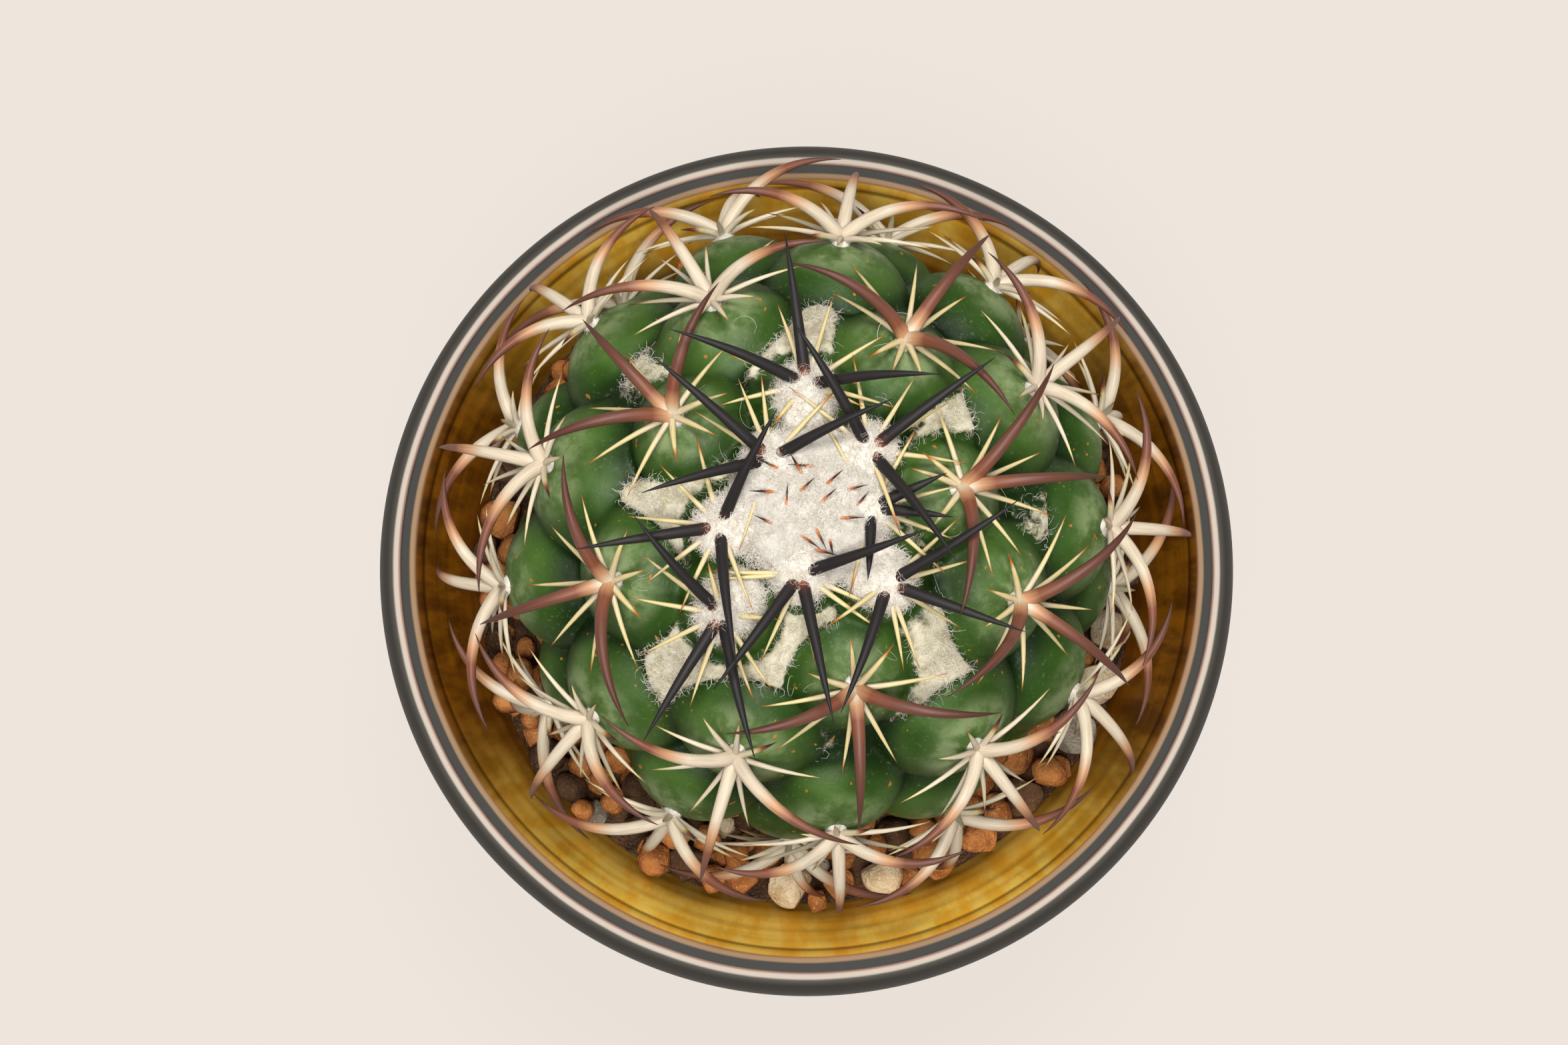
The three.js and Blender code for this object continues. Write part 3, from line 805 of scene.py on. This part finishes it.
def spine_materials():
    grain = spine_grain_group()
    ivory, bone, cream = srgb(194, 181, 160), srgb(200, 188, 164), srgb(200, 184, 134)
    peach, rust, amber = srgb(178, 134, 98), srgb(132, 74, 48), srgb(176, 108, 36)
    russet, mauve, umber = srgb(118, 70, 50), srgb(100, 62, 50), srgb(64, 37, 29)
    coal, soot = srgb(36, 32, 33), srgb(26, 24, 25)
    straw, ginger, burnt = srgb(206, 170, 128), srgb(184, 100, 44), srgb(130, 74, 30)
    looks = {  # roughness, how far the colours shift from spine to spine, and the colours along it
        "sprout": (0.4, 0.12, [(0, straw), (0.35, ginger), (0.58, umber), (1, coal)]),
        "young": (0.55, 0.1, [(0, rust), (0.04, rust), (0.08, umber), (0.13, coal), (1, soot)]),
        "middle": (0.45, 0.16, [(0, ivory), (0.06, peach), (0.15, russet), (0.32, mauve), (1, umber)]),
        "old": (0.45, 0.22, [
            (0, ivory), (0.3, ivory), (0.43, peach), (0.55, russet), (0.7, mauve), (1, umber),
        ]),
        "young_radial": (0.45, 0.16, [(0, ivory), (0.5, cream), (0.78, cream), (0.9, amber), (1, burnt)]),
        "old_radial": (0.45, 0.4, [(0, ivory), (0.55, bone), (0.74, cream), (0.88, rust), (1, umber)]),
    }
    return {age: spine_material(grain, age + "_spine", *look) for age, look in looks.items()}


# ---- Wool ----

HAIR_SIDES = 3
HAIR_STEPS = 3
HAIR_TIP = 0.5  # as a share of its radius
HAIR_RADIUS = 0.034
AXIL_HAIR_RADIUS = 0.028
STRAY_HAIR_RADIUS = 0.03
WOOL_WAVES = [np.array([wobble(k, j) - 0.5 for j in range(3)]) * 46 for k in range(9)]
WOOL_RELIEF = 0.05
PAD_LUMPS = 0.045

# Tufts: radii towards the apex, across and up; hairs; the hairs' length
YOUNG_TUFT = ((6.5, 5.0, 3.5), 2300, 1.8)
OLD_TUFT = ((1.9, 1.6, 1.2), 110, 0.9)
TUFT_SINK = 0.2  # as a share of its height
TUFT_CURL = 2.6
TUFT_SCATTER = 0.9
TUFT_UNDERSIDE = -0.25  # hairs that would root lower than this are put on the upper side

# Crown: one pad and its hairs, which root higher in the middle
CROWN_PAD = (13.0, 13.0, 4.4)
CROWN_PAD_SINK = 1.4
CROWN_SPREAD = 13.6
CROWN_HAIRS = 7600
CROWN_HAIR_LENGTH = 1.8
CROWN_CURL = 2.8
CROWN_SCATTER = 0.8
CROWN_TOP = 3.1
CROWN_FALL = 4.2

AXIL_TRIES = 90000
AXIL_HAIRS = 7000
AXIL_LIMIT = 64 * DEG  # from the apex
AXIL_LEAST_FELT = 0.1
AXIL_CURL = 2.4
STRAY_HAIRS = 46
STRAY_CURL = 3.4
STRAY_STEPS = 12
NEW_SPINES = 16
NEW_SPINE_LEANS = (48, 66)


def fibres_mesh(roots, directions, lengths, curl, radius, generator, name, steps=HAIR_STEPS):
    """Curly hairs from roots along directions; curl is how far each bends round, in radians."""
    template = unit_rod("unit_fibre", HAIR_SIDES, steps, HAIR_TIP, fanned=True)
    unit = get_points(template)
    count = len(roots)
    mesh = copies(template, count)
    mesh.name = name
    directions = unit_rows(directions)
    sideways = unit_rows(np.cross(directions, generator.normal(size=(count, 3))))
    third = np.cross(directions, sideways)
    bend = curl * (0.5 + generator.random(count))
    angle = bend[:, None] * unit[:, 2][None]
    forward = (lengths / bend)[:, None] * np.sin(angle)
    aside = (lengths / bend)[:, None] * (1 - np.cos(angle))
    lengthwise = directions[:, None] * forward[..., None] + sideways[:, None] * aside[..., None]
    inner = sideways[:, None] * np.cos(angle)[..., None] - directions[:, None] * np.sin(angle)[..., None]
    round_x = (unit[:, 0] * radius)[None, :, None]
    round_y = (unit[:, 1] * radius)[None, :, None]
    points = roots[:, None] + lengthwise + inner * round_x + third[:, None] * round_y
    set_points(mesh, points.reshape(-1, 3) * MM)
    return mesh


def wool_material(name, light, dark, bump):
    material, tree, _ = new_material(name, 1, Specular_IOR_Level=0)
    where = coordinates(tree)
    patch = noise(tree, where, 500, 3)
    colour = mixed(tree, remapped(tree, patch, 0.35, 0.7), dark, light)
    return dressed(material, colour, noise(tree, where, 2600, 4, 0.7), 0.0002, bump)


def wool_materials():
    """Matted felt, greyer on the crown, and the paler hairs that stand out of it; the felt is painted
    darker than the same wool's hairs, as painted shade under them.
    """
    return {
        "felt": wool_material("matted_wool", srgb(212, 206, 196), srgb(198, 190, 178), 0.5),
        "crown": wool_material("crown_wool", srgb(192, 187, 179), srgb(175, 169, 159), 0.7),
        "hair": wool_material("wool_hair", srgb(226, 221, 212), srgb(214, 207, 196), 0.1),
    }


def joined(name, meshes):
    """Several meshes as one, their materials kept in order of first use."""
    objects = [linked("part", mesh) for mesh in meshes]
    with bpy.context.temp_override(active_object=objects[0], selected_editable_objects=objects):
        bpy.ops.object.join()
    mesh = objects[0].data
    mesh.name = name
    bpy.data.objects.remove(objects[0])
    return mesh


def felt_core(centre, axes, seed, material, name):
    """A lumpy pad of matted wool, which the loose hairs stand on; axes hold its three radii."""
    core = unit_ball(name, 5)
    unit = get_points(core)
    woolly = sum(np.sin(unit @ wave + seed + k) for k, wave in enumerate(WOOL_WAVES)) / len(WOOL_WAVES)
    points = lumpy(unit, seed, PAD_LUMPS) * (1 + WOOL_RELIEF * woolly)[:, None]
    set_points(core, (points @ axes + centre) * MM)
    core.materials.append(material)
    core.shade_smooth()
    return core


def tuft_mesh(home, radii, count, hair, generator, wool, name):
    """A woolly tuft: a felt core under curly hairs that stand out all round its upper side."""
    toward = -home.away
    centre = home.point + toward * (radii[0] - radii[1]) - home.normal * radii[2] * TUFT_SINK
    axes = np.array([toward * radii[0], home.side * radii[1], home.normal * radii[2]])
    core = felt_core(centre, axes, home.index + 1, wool["felt"], name + "_core")
    around = unit_rows(generator.normal(size=(count, 3)))
    around[:, 2] = np.where(around[:, 2] < TUFT_UNDERSIDE, -around[:, 2], around[:, 2])
    roots = centre + around @ axes * 0.97
    outward = unit_rows(around @ (axes / np.array(radii)[:, None] ** 2))
    scatter = outward + generator.normal(size=(count, 3)) * TUFT_SCATTER
    lengths = hair * (0.5 + generator.random(count))
    hairs = fibres_mesh(roots, scatter, lengths, TUFT_CURL, HAIR_RADIUS, generator, name + "_hair")
    hairs.materials.append(wool["hair"])
    return [core, hairs]


def under_felt(spine):
    """Whether a spine of a young areole ends in the crown's wool."""
    inward = np.linalg.norm(spine.samples[-1] - APEX) < CROWN_SPREAD
    return spine.home.index < WOOLLY_AREOLES and inward


def make_clusters(grown, materials, wool):
    generator = np.random.default_rng(11)
    for home in AREOLES[:CLUSTERS]:
        own = [spine for spine in grown if spine.home is home]
        centrals = [spine for spine in own if spine.radius >= YOUNG_CENTRAL[3]]
        radials = [spine for spine in own if spine.radius < YOUNG_CENTRAL[3] and not under_felt(spine)]
        age = "old"
        if home.index < BROWN_AREOLES:
            age = "young" if home.index < WOOLLY_AREOLES else "middle"
        meshes = []
        if centrals:
            mesh = spines_mesh(centrals, *CENTRAL_MESH, "centrals")
            mesh.materials.append(materials[age])
            meshes.append(mesh)
        if radials:
            mesh = spines_mesh(radials, *RADIAL_MESH, "radials")
            mesh.materials.append(materials["old_radial" if age == "old" else "young_radial"])
            meshes.append(mesh)
        for mesh in meshes:
            mesh.shade_smooth()
        if age == "young":
            meshes += tuft_mesh(home, *YOUNG_TUFT, generator, wool, "tuft")
        else:
            meshes += tuft_mesh(home, *OLD_TUFT, generator, wool, "cushion")
        name = "spines_%02d" % home.index
        slot = "young_spines" if age == "young" else "old_spines"
        piece(name + "_grown", joined(name, meshes), [], slot, name, smooth=False)


def make_crown(wool):
    """The felted growing point, one soft heap that runs out to the youngest tufts."""
    generator = np.random.default_rng(5)
    middle = APEX - np.array([0, 0, CROWN_PAD_SINK])
    core = felt_core(middle, np.diag(CROWN_PAD), 3, wool["crown"], "crown_core")
    reach = CROWN_SPREAD * np.sqrt(generator.random(CROWN_HAIRS))
    turn = generator.uniform(0, 2 * math.pi, CROWN_HAIRS)
    fall = (reach / CROWN_SPREAD) ** 2
    x, y = np.cos(turn), np.sin(turn)
    roots = APEX + np.stack([reach * x, reach * y, CROWN_TOP - CROWN_FALL * fall], axis=1)
    outward = np.stack([x * fall, y * fall, np.full(CROWN_HAIRS, 0.9)], axis=1)
    scatter = outward + generator.normal(size=(CROWN_HAIRS, 3)) * CROWN_SCATTER
    lengths = CROWN_HAIR_LENGTH * (0.5 + generator.random(CROWN_HAIRS))
    hairs = fibres_mesh(roots, scatter, lengths, CROWN_CURL, HAIR_RADIUS, generator, "crown_hair")
    hairs.materials.append(wool["hair"])
    piece("crown_felt", joined("crown_felt", [core, hairs]), [], "wool", "crown_wool", smooth=False)


def make_axil_wool(wool):
    """Cobweb wool in the creases between the younger tubercles."""
    generator = np.random.default_rng(8)
    polar = np.arccos(1 - (1 - math.cos(AXIL_LIMIT)) * generator.random(AXIL_TRIES))
    azimuth = generator.uniform(-math.pi, math.pi, AXIL_TRIES)
    skin, depth, normal = stem_surface(polar, azimuth)
    felt = felt_share(skin, depth, polar)
    likely = np.maximum(felt - AXIL_LEAST_FELT, 0)
    skin = with_drifts(skin, depth, normal, felt)
    kept = np.flatnonzero(generator.random(AXIL_TRIES) < likely)[:AXIL_HAIRS]
    count = len(kept)
    up = normal[kept]
    lie = unit_rows(np.cross(up, generator.normal(size=(count, 3))))
    directions = lie + up * generator.uniform(0.1, 0.8, count)[:, None]
    lengths = 1.0 + 2.2 * generator.random(count)
    roots = skin[kept] - up * 0.1
    hairs = fibres_mesh(roots, directions, lengths, AXIL_CURL, AXIL_HAIR_RADIUS, generator, "axil_wool")
    piece("axil_wool", hairs, [wool["hair"]], "wool", smooth=False)


def make_stray_hairs(wool):
    """A few long single hairs that have come loose round the crown."""
    generator = np.random.default_rng(14)
    turn = generator.uniform(0, 2 * math.pi, STRAY_HAIRS)
    polar = generator.uniform(12, 40, STRAY_HAIRS) * DEG
    skin, _, normal = stem_surface(polar, turn)
    lie = unit_rows(np.cross(normal, generator.normal(size=(STRAY_HAIRS, 3))))
    directions = lie + normal * 0.8
    lengths = generator.uniform(5, 10, STRAY_HAIRS)
    hairs = fibres_mesh(
        skin + normal * 0.3, directions, lengths,
        STRAY_CURL, STRAY_HAIR_RADIUS, generator, "stray_hairs", STRAY_STEPS,
    )
    piece("stray_hairs", hairs, [wool["hair"]], "wool", smooth=False)


def make_new_spines(materials):
    """Spines just coming through the felt, still short and soft-coloured."""
    generator = np.random.default_rng(31)
    spines = []
    for index in range(NEW_SPINES):
        turn = index * DIVERGENCE * DEG
        out = 1.2 + 1.5 * math.sqrt(index)
        x, y = math.cos(turn), math.sin(turn)
        home = Areole(0)
        home.point = APEX + np.array([out * x, out * y, 2.4 - 0.03 * out * out])
        home.normal = np.array([0, 0, 1.0])
        home.away = np.array([x, y, 0])
        home.side = np.array([-y, x, 0])
        length = 2.6 + 0.5 * math.sqrt(index) + 1.6 * generator.random()
        kind = (*NEW_SPINE_LEANS, length, 0.24 + 0.06 * generator.random())
        spines.append(Spine(home, generator.uniform(-110, 110), kind, generator.uniform(-12, 14), 1))
    mesh = spines_mesh(spines, *RADIAL_MESH, "new_spines")
    piece("new_spines", mesh, [materials["sprout"]], "young_spines")


# ---- Pot ----

RIPPLE = 0.12  # of the outside, as thrown
RIPPLE_PITCH = 4.5
THROWING_RINGS = ((0.04, 5.3), (0.02, 3.4))  # of the inside: height and pitch
GROOVE_WIDTH = 0.2
OUTSIDE_STEPS = 44
SHOULDER_STEPS = 14
CREST_STEPS = 21
BEVEL_STEPS = 10
WALL_STEPS = 90
BOWL_SIDES = 240
SOIL_SIDES = 128

def wall_radius(height):
    return WALL_MOUTH_RADIUS - (POT_HEIGHT - height) * WALL_TAPER


def bowl_outside():
    """The outside from foot to shoulder: one quadratic curve."""
    foot = np.array([FOOT_OUTER_RADIUS + FOOT_FLARE, FLOOR_UNDERSIDE])
    shoulder = np.array([POT_RADIUS, POT_HEIGHT - SHOULDER_BELOW_RIM])
    shares = np.linspace(0, 1, OUTSIDE_STEPS)[:, None]
    rest = 1 - shares
    curve = rest ** 2 * foot + 2 * shares * rest * np.array(BELLY) + shares ** 2 * shoulder
    ripple = RIPPLE * np.sin(curve[:, 1] * 2 * math.pi / RIPPLE_PITCH)
    curve[1:-1, 0] += ripple[1:-1]
    return [tuple(point) for point in curve]


def lip():
    """Shoulder, the flat crest with its fine turned groove, and the rounded bevel down to the wall."""
    points = []
    for angle in np.linspace(0, math.pi / 2, SHOULDER_STEPS)[1:-1]:
        out = LIP_OUTER_RADIUS + (POT_RADIUS - LIP_OUTER_RADIUS) * math.cos(angle)
        points.append((out, POT_HEIGHT - SHOULDER_BELOW_RIM * (1 - math.sin(angle))))
    for radius in np.linspace(LIP_OUTER_RADIUS, LIP_INNER_RADIUS, CREST_STEPS):
        groove = GROOVE_DEPTH * math.exp(-((radius - GROOVE_RADIUS) / GROOVE_WIDTH) ** 2)
        points.append((radius, POT_HEIGHT - groove))
    mouth = wall_radius(POT_HEIGHT - BEVEL_DEPTH)
    for angle in np.linspace(0, math.pi / 2, BEVEL_STEPS)[1:]:
        inside = LIP_INNER_RADIUS - (LIP_INNER_RADIUS - mouth) * math.sin(angle)
        points.append((inside, POT_HEIGHT - BEVEL_DEPTH * (1 - math.cos(angle))))
    return points


def bowl_inside():
    """The wall with its throwing rings, the fillet and the floor."""
    points = []
    for depth in np.linspace(BEVEL_DEPTH + 0.4, POT_HEIGHT - FILLET_TOP, WALL_STEPS):
        rings = sum(high * math.sin(depth * 2 * math.pi / pitch) for high, pitch in THROWING_RINGS)
        points.append((wall_radius(POT_HEIGHT - depth) + rings * min(depth / 5, 1), POT_HEIGHT - depth))
    points.append((wall_radius(FILLET_TOP) - FLOOR_FILLET / 4, FLOOR_TOP + FLOOR_FILLET / 3))
    points.append((wall_radius(FILLET_TOP) - FLOOR_FILLET, FLOOR_TOP))
    return points


def pot_profile():
    foot = [
        (DRAIN_RADIUS, FLOOR_UNDERSIDE),
        (FOOT_INNER_RADIUS, FLOOR_UNDERSIDE),
        (FOOT_INNER_RADIUS + 1, 0.4),
        (FOOT_INNER_RADIUS + 1.4, 0),
        (FOOT_OUTER_RADIUS - 0.4, 0),
        (FOOT_OUTER_RADIUS, 0.4),
    ]
    return foot + bowl_outside() + lip() + bowl_inside() + [(DRAIN_RADIUS, FLOOR_TOP)]


def glaze_material():
    material, tree, _ = new_material("bowl_glaze", 0.5, Specular_IOR_Level=0.14)
    x, y, z = place(tree, "SeparateXYZ", {"Vector": coordinates(tree)}).outputs
    flat = vector(tree, x, y)
    radius = place(tree, "VectorMath", {0: flat}, operation="LENGTH").outputs["Value"]
    way = place(tree, "VectorMath", {0: flat}, operation="NORMALIZE").outputs["Vector"]
    way_x, way_y, _ = place(tree, "SeparateXYZ", {"Vector": way}).outputs
    running = vector(tree, way_x, way_y, times(tree, z, 5))
    drips = noise(tree, running, 16, 5, 0.6)
    clouds = noise(tree, running, 3.5, 3)
    thrown = vector(tree, times(tree, way_x, 0.9), times(tree, way_y, 0.9), times(tree, z, 150))
    rings = noise(tree, thrown, 2.2, 3)

    # Amber glaze inside, with painted light and shade: bright gold on the front and back walls, which face
    # the softboxes, and painted dark brown shade on the sides
    painted_light_facing = remapped(tree, times(tree, way_y, way_y), 0.12, 0.75)
    painted_light_share = times(tree, painted_light_facing, remapped(tree, way_y, -0.2, 0.4, 1, 0.85))
    brown = mixed(tree, remapped(tree, drips, 0.35, 0.65), srgb(124, 76, 8), srgb(82, 46, 2))
    gold = mixed(tree, remapped(tree, drips, 0.38, 0.62), srgb(255, 214, 96), srgb(246, 184, 54))
    gold = mixed(tree, remapped(tree, clouds, 0.5, 0.68, 0, 0.5), gold, srgb(212, 140, 34))
    amber = mixed(tree, painted_light_share, brown, gold)
    amber = mixed(tree, remapped(tree, rings, 0.5, 0.7, 0, 0.2), amber, srgb(168, 100, 18))
    # Painted shade: the amber darkens towards the grit at the foot of the wall
    low = (SOIL_TOP + 1) * MM
    amber = mixed(tree, remapped(tree, z, low, low + 0.008, 0.5, 0), amber, srgb(116, 64, 10))

    # Charcoal glaze outside, and the lip's bands where it breaks over the crest
    charcoal = mixed(tree, remapped(tree, drips, 0.3, 0.75), srgb(64, 62, 58), srgb(49, 46, 42))
    stir = times(tree, computed(tree, "SUBTRACT", clouds, 0.5), 0.0005)
    cream, dark, tan = srgb(168, 156, 144), srgb(42, 40, 36), srgb(132, 104, 76)
    bands = banded(tree, computed(tree, "ADD", radius, stir), 0.068, 0.078, [
        (0.0690, srgb(96, 64, 30)), (0.0694, tan), (0.0699, tan), (0.07025, dark), (0.0716, dark),
        (0.07195, srgb(134, 104, 92)), (0.0722, cream), (0.0728, cream), (0.07315, srgb(70, 67, 62)),
        (0.0742, srgb(52, 50, 46)),
    ])
    near_rim = remapped(tree, z, (POT_HEIGHT - 4) * MM, (POT_HEIGHT - 3) * MM)
    outside = mixed(tree, near_rim, charcoal, bands)
    bare = remapped(tree, z, 0.0025, 0.0035, 1, 0)
    outside = mixed(tree, bare, outside, srgb(168, 132, 96))

    # The inner wall is where the radius is at most a little more than the wall's own at that height
    wall_here = computed(tree, "MULTIPLY_ADD", z, WALL_TAPER)
    wall_here.node.inputs[2].default_value = (WALL_MOUTH_RADIUS - POT_HEIGHT * WALL_TAPER + 0.2) * MM
    inside = computed(tree, "LESS_THAN", radius, wall_here)
    inside = times(tree, inside, computed(tree, "GREATER_THAN", z, (FLOOR_TOP - 1) * MM))
    below_bevel = remapped(tree, z, (POT_HEIGHT - 2.7) * MM, (POT_HEIGHT - 1.8) * MM, 1, 0)
    inside = times(tree, inside, below_bevel)
    # Painted shade: on the rounded bevel into the bowl the amber is darkened to a brown line, the shade of
    # the rim's inner corner
    on_bevel = computed(tree, "SUBTRACT", remapped(tree, radius, 0.0688, 0.0692, 1, 0), below_bevel)
    on_bevel = times(tree, computed(tree, "MAXIMUM", on_bevel, 0), near_rim)
    painted_bevel_shade = mixed(tree, 1.0, amber, (0.42, 0.38, 0.34, 1), "MULTIPLY")
    outside = mixed(tree, on_bevel, outside, painted_bevel_shade)
    colour = mixed(tree, inside, outside, amber)
    return dressed(material, colour, computed(tree, "ADD", drips, rings), 0.0003, 0.3)


def make_pot():
    mesh = turned(pot_profile(), BOWL_SIDES, "bowl")
    piece("bowl", mesh, [glaze_material()], "pot_glaze", "pot")


# ---- Soil and stones ----

STONES = {
    "stone_mauve": "dark",
    "stone_clay_a": "clay",
    "stone_white_a": "pale",
    "stone_clay_b": "clay",
    "stone_cream": "pale",
    "stone_clay_c": "clay",
    "stone_clay_d": "clay",
    "stone_dark_a": "dark",
    "stone_grey": "grey",
    "stone_tan": "pale",
    "stone_beige": "pale",
    "stone_moss": "dark",
    "stone_dark_b": "dark",
    "stone_clay_e": "clay",
    "stone_clay_f": "clay",
}


def box_of(name):
    """The lowest and highest corner of a CAD node, in millimetres."""
    return [np.array(corner / MM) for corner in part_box(name)]


def stone_grain_group():
    """Broad patches, fine grains and the rough surface of a broken stone."""
    tree, _, result = new_group("stone_grain", {}, ("Patch", "Grain", "Height"))
    where = coordinates(tree)
    patch = noise(tree, where, 260, 4)
    grain = noise(tree, where, 1800, 3)
    height = computed(tree, "ADD", grain, times(tree, patch, 2))
    for key, value in (("Patch", patch), ("Grain", grain), ("Height", height)):
        tree.links.new(value, result[key])
    return tree


def stone_material(grain, name, light, dark, fleck):
    material, tree, _ = new_material(name, 0.9, Specular_IOR_Level=0.15)
    own = place(tree, "Group", node_tree=grain).outputs
    colour = mixed(tree, remapped(tree, own["Patch"], 0.35, 0.68), light, dark)
    colour = mixed(tree, remapped(tree, own["Grain"], 0.55, 0.75, 0, 0.6), colour, fleck)
    return dressed(material, colour, own["Height"], 0.0005, 0.9)


def stone_materials():
    grain = stone_grain_group()
    looks = {
        "clay": ("clay_grit", srgb(190, 126, 70), srgb(132, 76, 38), srgb(214, 164, 110)),
        "dark": ("dark_grit", srgb(92, 66, 46), srgb(54, 38, 28), srgb(122, 98, 74)),
        "pale": ("pale_stone", srgb(218, 200, 168), srgb(186, 158, 120), srgb(232, 222, 198)),
        "grey": ("grey_stone", srgb(146, 138, 124), srgb(108, 98, 86), srgb(184, 176, 164)),
    }
    return {kind: stone_material(grain, *look) for kind, look in looks.items()}


STONE_LUMPS = 0.07
STONE_FACETS = (9, 0.34)  # how many, and how deeply worn
STONE_SWELL = 1.04  # a worn stone's size against its CAD node's box
SOIL_HOLLOW = (38, 30, 24)  # radii of the hollow round the stub: at the surface, lower down, at its floor
SOIL_HOLLOW_DEPTH = 6
SOIL_BORE = 2
GRIT_MIX = ["clay"] * 15 + ["dark"] * 3 + ["pale", "grey"]
GRIT_RADII = (2.3, 3.7)
GRIT_LAYERS = 2
GRIT_LAYER_HEIGHT = 3.8
GRIT_TRIES = 2600  # in each layer
GRIT_INNER_RADIUS = 41
GRIT_CLOSENESS = 0.84  # of neighbours, as a share of their two radii
GRIT_LUMPS = 0.08
GRIT_FACETS = (8, 0.36)


def make_stones(materials):
    for index, (name, kind) in enumerate(STONES.items()):
        mesh = unit_ball(name, 5)
        low, high = box_of(name)
        shaped = faceted(lumpy(get_points(mesh), index + 3, STONE_LUMPS), index, *STONE_FACETS)
        shaped -= (shaped.min(0) + shaped.max(0)) / 2
        shaped /= shaped.max(0)
        set_points(mesh, ((low + high) / 2 + shaped * (high - low) / 2 * STONE_SWELL) * MM)
        piece(name + "_worn", mesh, [materials[kind]], "stone_" + kind, name)


def make_soil(materials):
    bottom = FLOOR_TOP + GAP
    screen_top = bottom + SCREEN_THICKNESS + GAP
    screen_edge = SCREEN_RADIUS + 2 * GAP
    wide, middle, narrow = SOIL_HOLLOW
    profile = [
        (SOIL_BORE, screen_top),
        (screen_edge, screen_top),
        (screen_edge, bottom),
        (wall_radius(FILLET_TOP) - FLOOR_FILLET - GAP, bottom),
        (wall_radius(FILLET_TOP) - FLOOR_FILLET / 3, FLOOR_TOP + FLOOR_FILLET / 3 + GAP),
        (wall_radius(FILLET_TOP) - 2 * GAP, FILLET_TOP),
        (wall_radius(SOIL_TOP) - 2 * GAP, SOIL_TOP),
        (wide, SOIL_TOP),
        (middle, SOIL_TOP - SOIL_HOLLOW_DEPTH),
        (narrow, STUB_BOTTOM - 1),
        (SOIL_BORE, STUB_BOTTOM - 1),
    ]
    mesh = turned(profile, SOIL_SIDES, "soil_body")
    piece("soil_body", mesh, [materials["dark"]], "soil_grit", "soil")


def settled_granules(generator):
    """Centres and radii of loose granules between stem and wall, none deep in what lies there already."""
    taken = []
    for name in STONES:
        low, high = box_of(name)
        taken.append((*((low + high) / 2), (high - low).max() / 2))
    first = len(taken)
    for layer in range(GRIT_LAYERS):
        for _ in range(GRIT_TRIES):
            size = generator.uniform(*GRIT_RADII)
            reach = wall_radius(SOIL_TOP + 2 + 3 * layer) - size - 0.4
            radius = math.sqrt(generator.uniform(GRIT_INNER_RADIUS ** 2, reach ** 2))
            turn = generator.uniform(0, 2 * math.pi)
            height = SOIL_TOP + size * 0.7 + layer * GRIT_LAYER_HEIGHT + generator.uniform(-0.4, 0.8)
            spot = np.array([radius * math.cos(turn), radius * math.sin(turn), height])
            from_stem = np.hypot(*(spot - AXIS)[:2])
            stem_here = STEM_RADIUS * math.sqrt(1 - ((AXIS[2] - height) / BASE_DROP) ** 2)
            if from_stem < stem_here + size * 0.4:
                continue
            apart = [np.linalg.norm(spot - other[:3]) / (size + other[3]) for other in taken]
            if min(apart) > GRIT_CLOSENESS:
                taken.append((*spot, size))
    return taken[first:]


def make_grit(materials):
    generator = np.random.default_rng(23)
    groups = {kind: [] for kind in materials}
    for index, granule in enumerate(settled_granules(generator)):
        groups[GRIT_MIX[int(wobble(index, 9) * len(GRIT_MIX))]].append(granule)
    template = unit_ball("unit_granule", 2)
    unit = get_points(template)
    for kind, members in groups.items():
        mesh = copies(template.copy(), len(members))
        blobs = []
        for index, (*spot, size) in enumerate(members):
            shaped = faceted(lumpy(unit, index + 101, GRIT_LUMPS), index + 60, *GRIT_FACETS)
            shaped *= generator.uniform(0.86, 1.14, 3)
            turn = Matrix.Rotation(generator.uniform(0, FULL_TURN), 3, Vector(generator.normal(size=3)))
            blobs.append(shaped @ np.array(turn).T * size + np.array(spot))
        set_points(mesh, np.concatenate(blobs) * MM)
        piece("grit_" + kind, mesh, [materials[kind]], "stone_" + kind)


def finish_screen():
    material, tree, shader = new_material("net_plastic", 0.6)
    speck = noise(tree, coordinates(tree), 900, 3)
    tree.links.new(mixed(tree, speck, srgb(30, 30, 30), srgb(50, 50, 48)), shader.inputs["Base Color"])
    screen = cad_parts["drain_screen"]
    screen.data.materials.clear()
    screen.data.materials.append(material)


make_camera()
make_light()
make_floor()
finish_screen()
make_pot()
grit = stone_materials()
make_soil(grit)
make_stones(grit)
make_grit(grit)
make_stem(skin_material())
wool = wool_materials()
grown = grow_all()
spine_looks = spine_materials()
make_clusters(grown, spine_looks, wool)
make_crown(wool)
make_new_spines(spine_looks)
make_axil_wool(wool)
make_stray_hairs(wool)
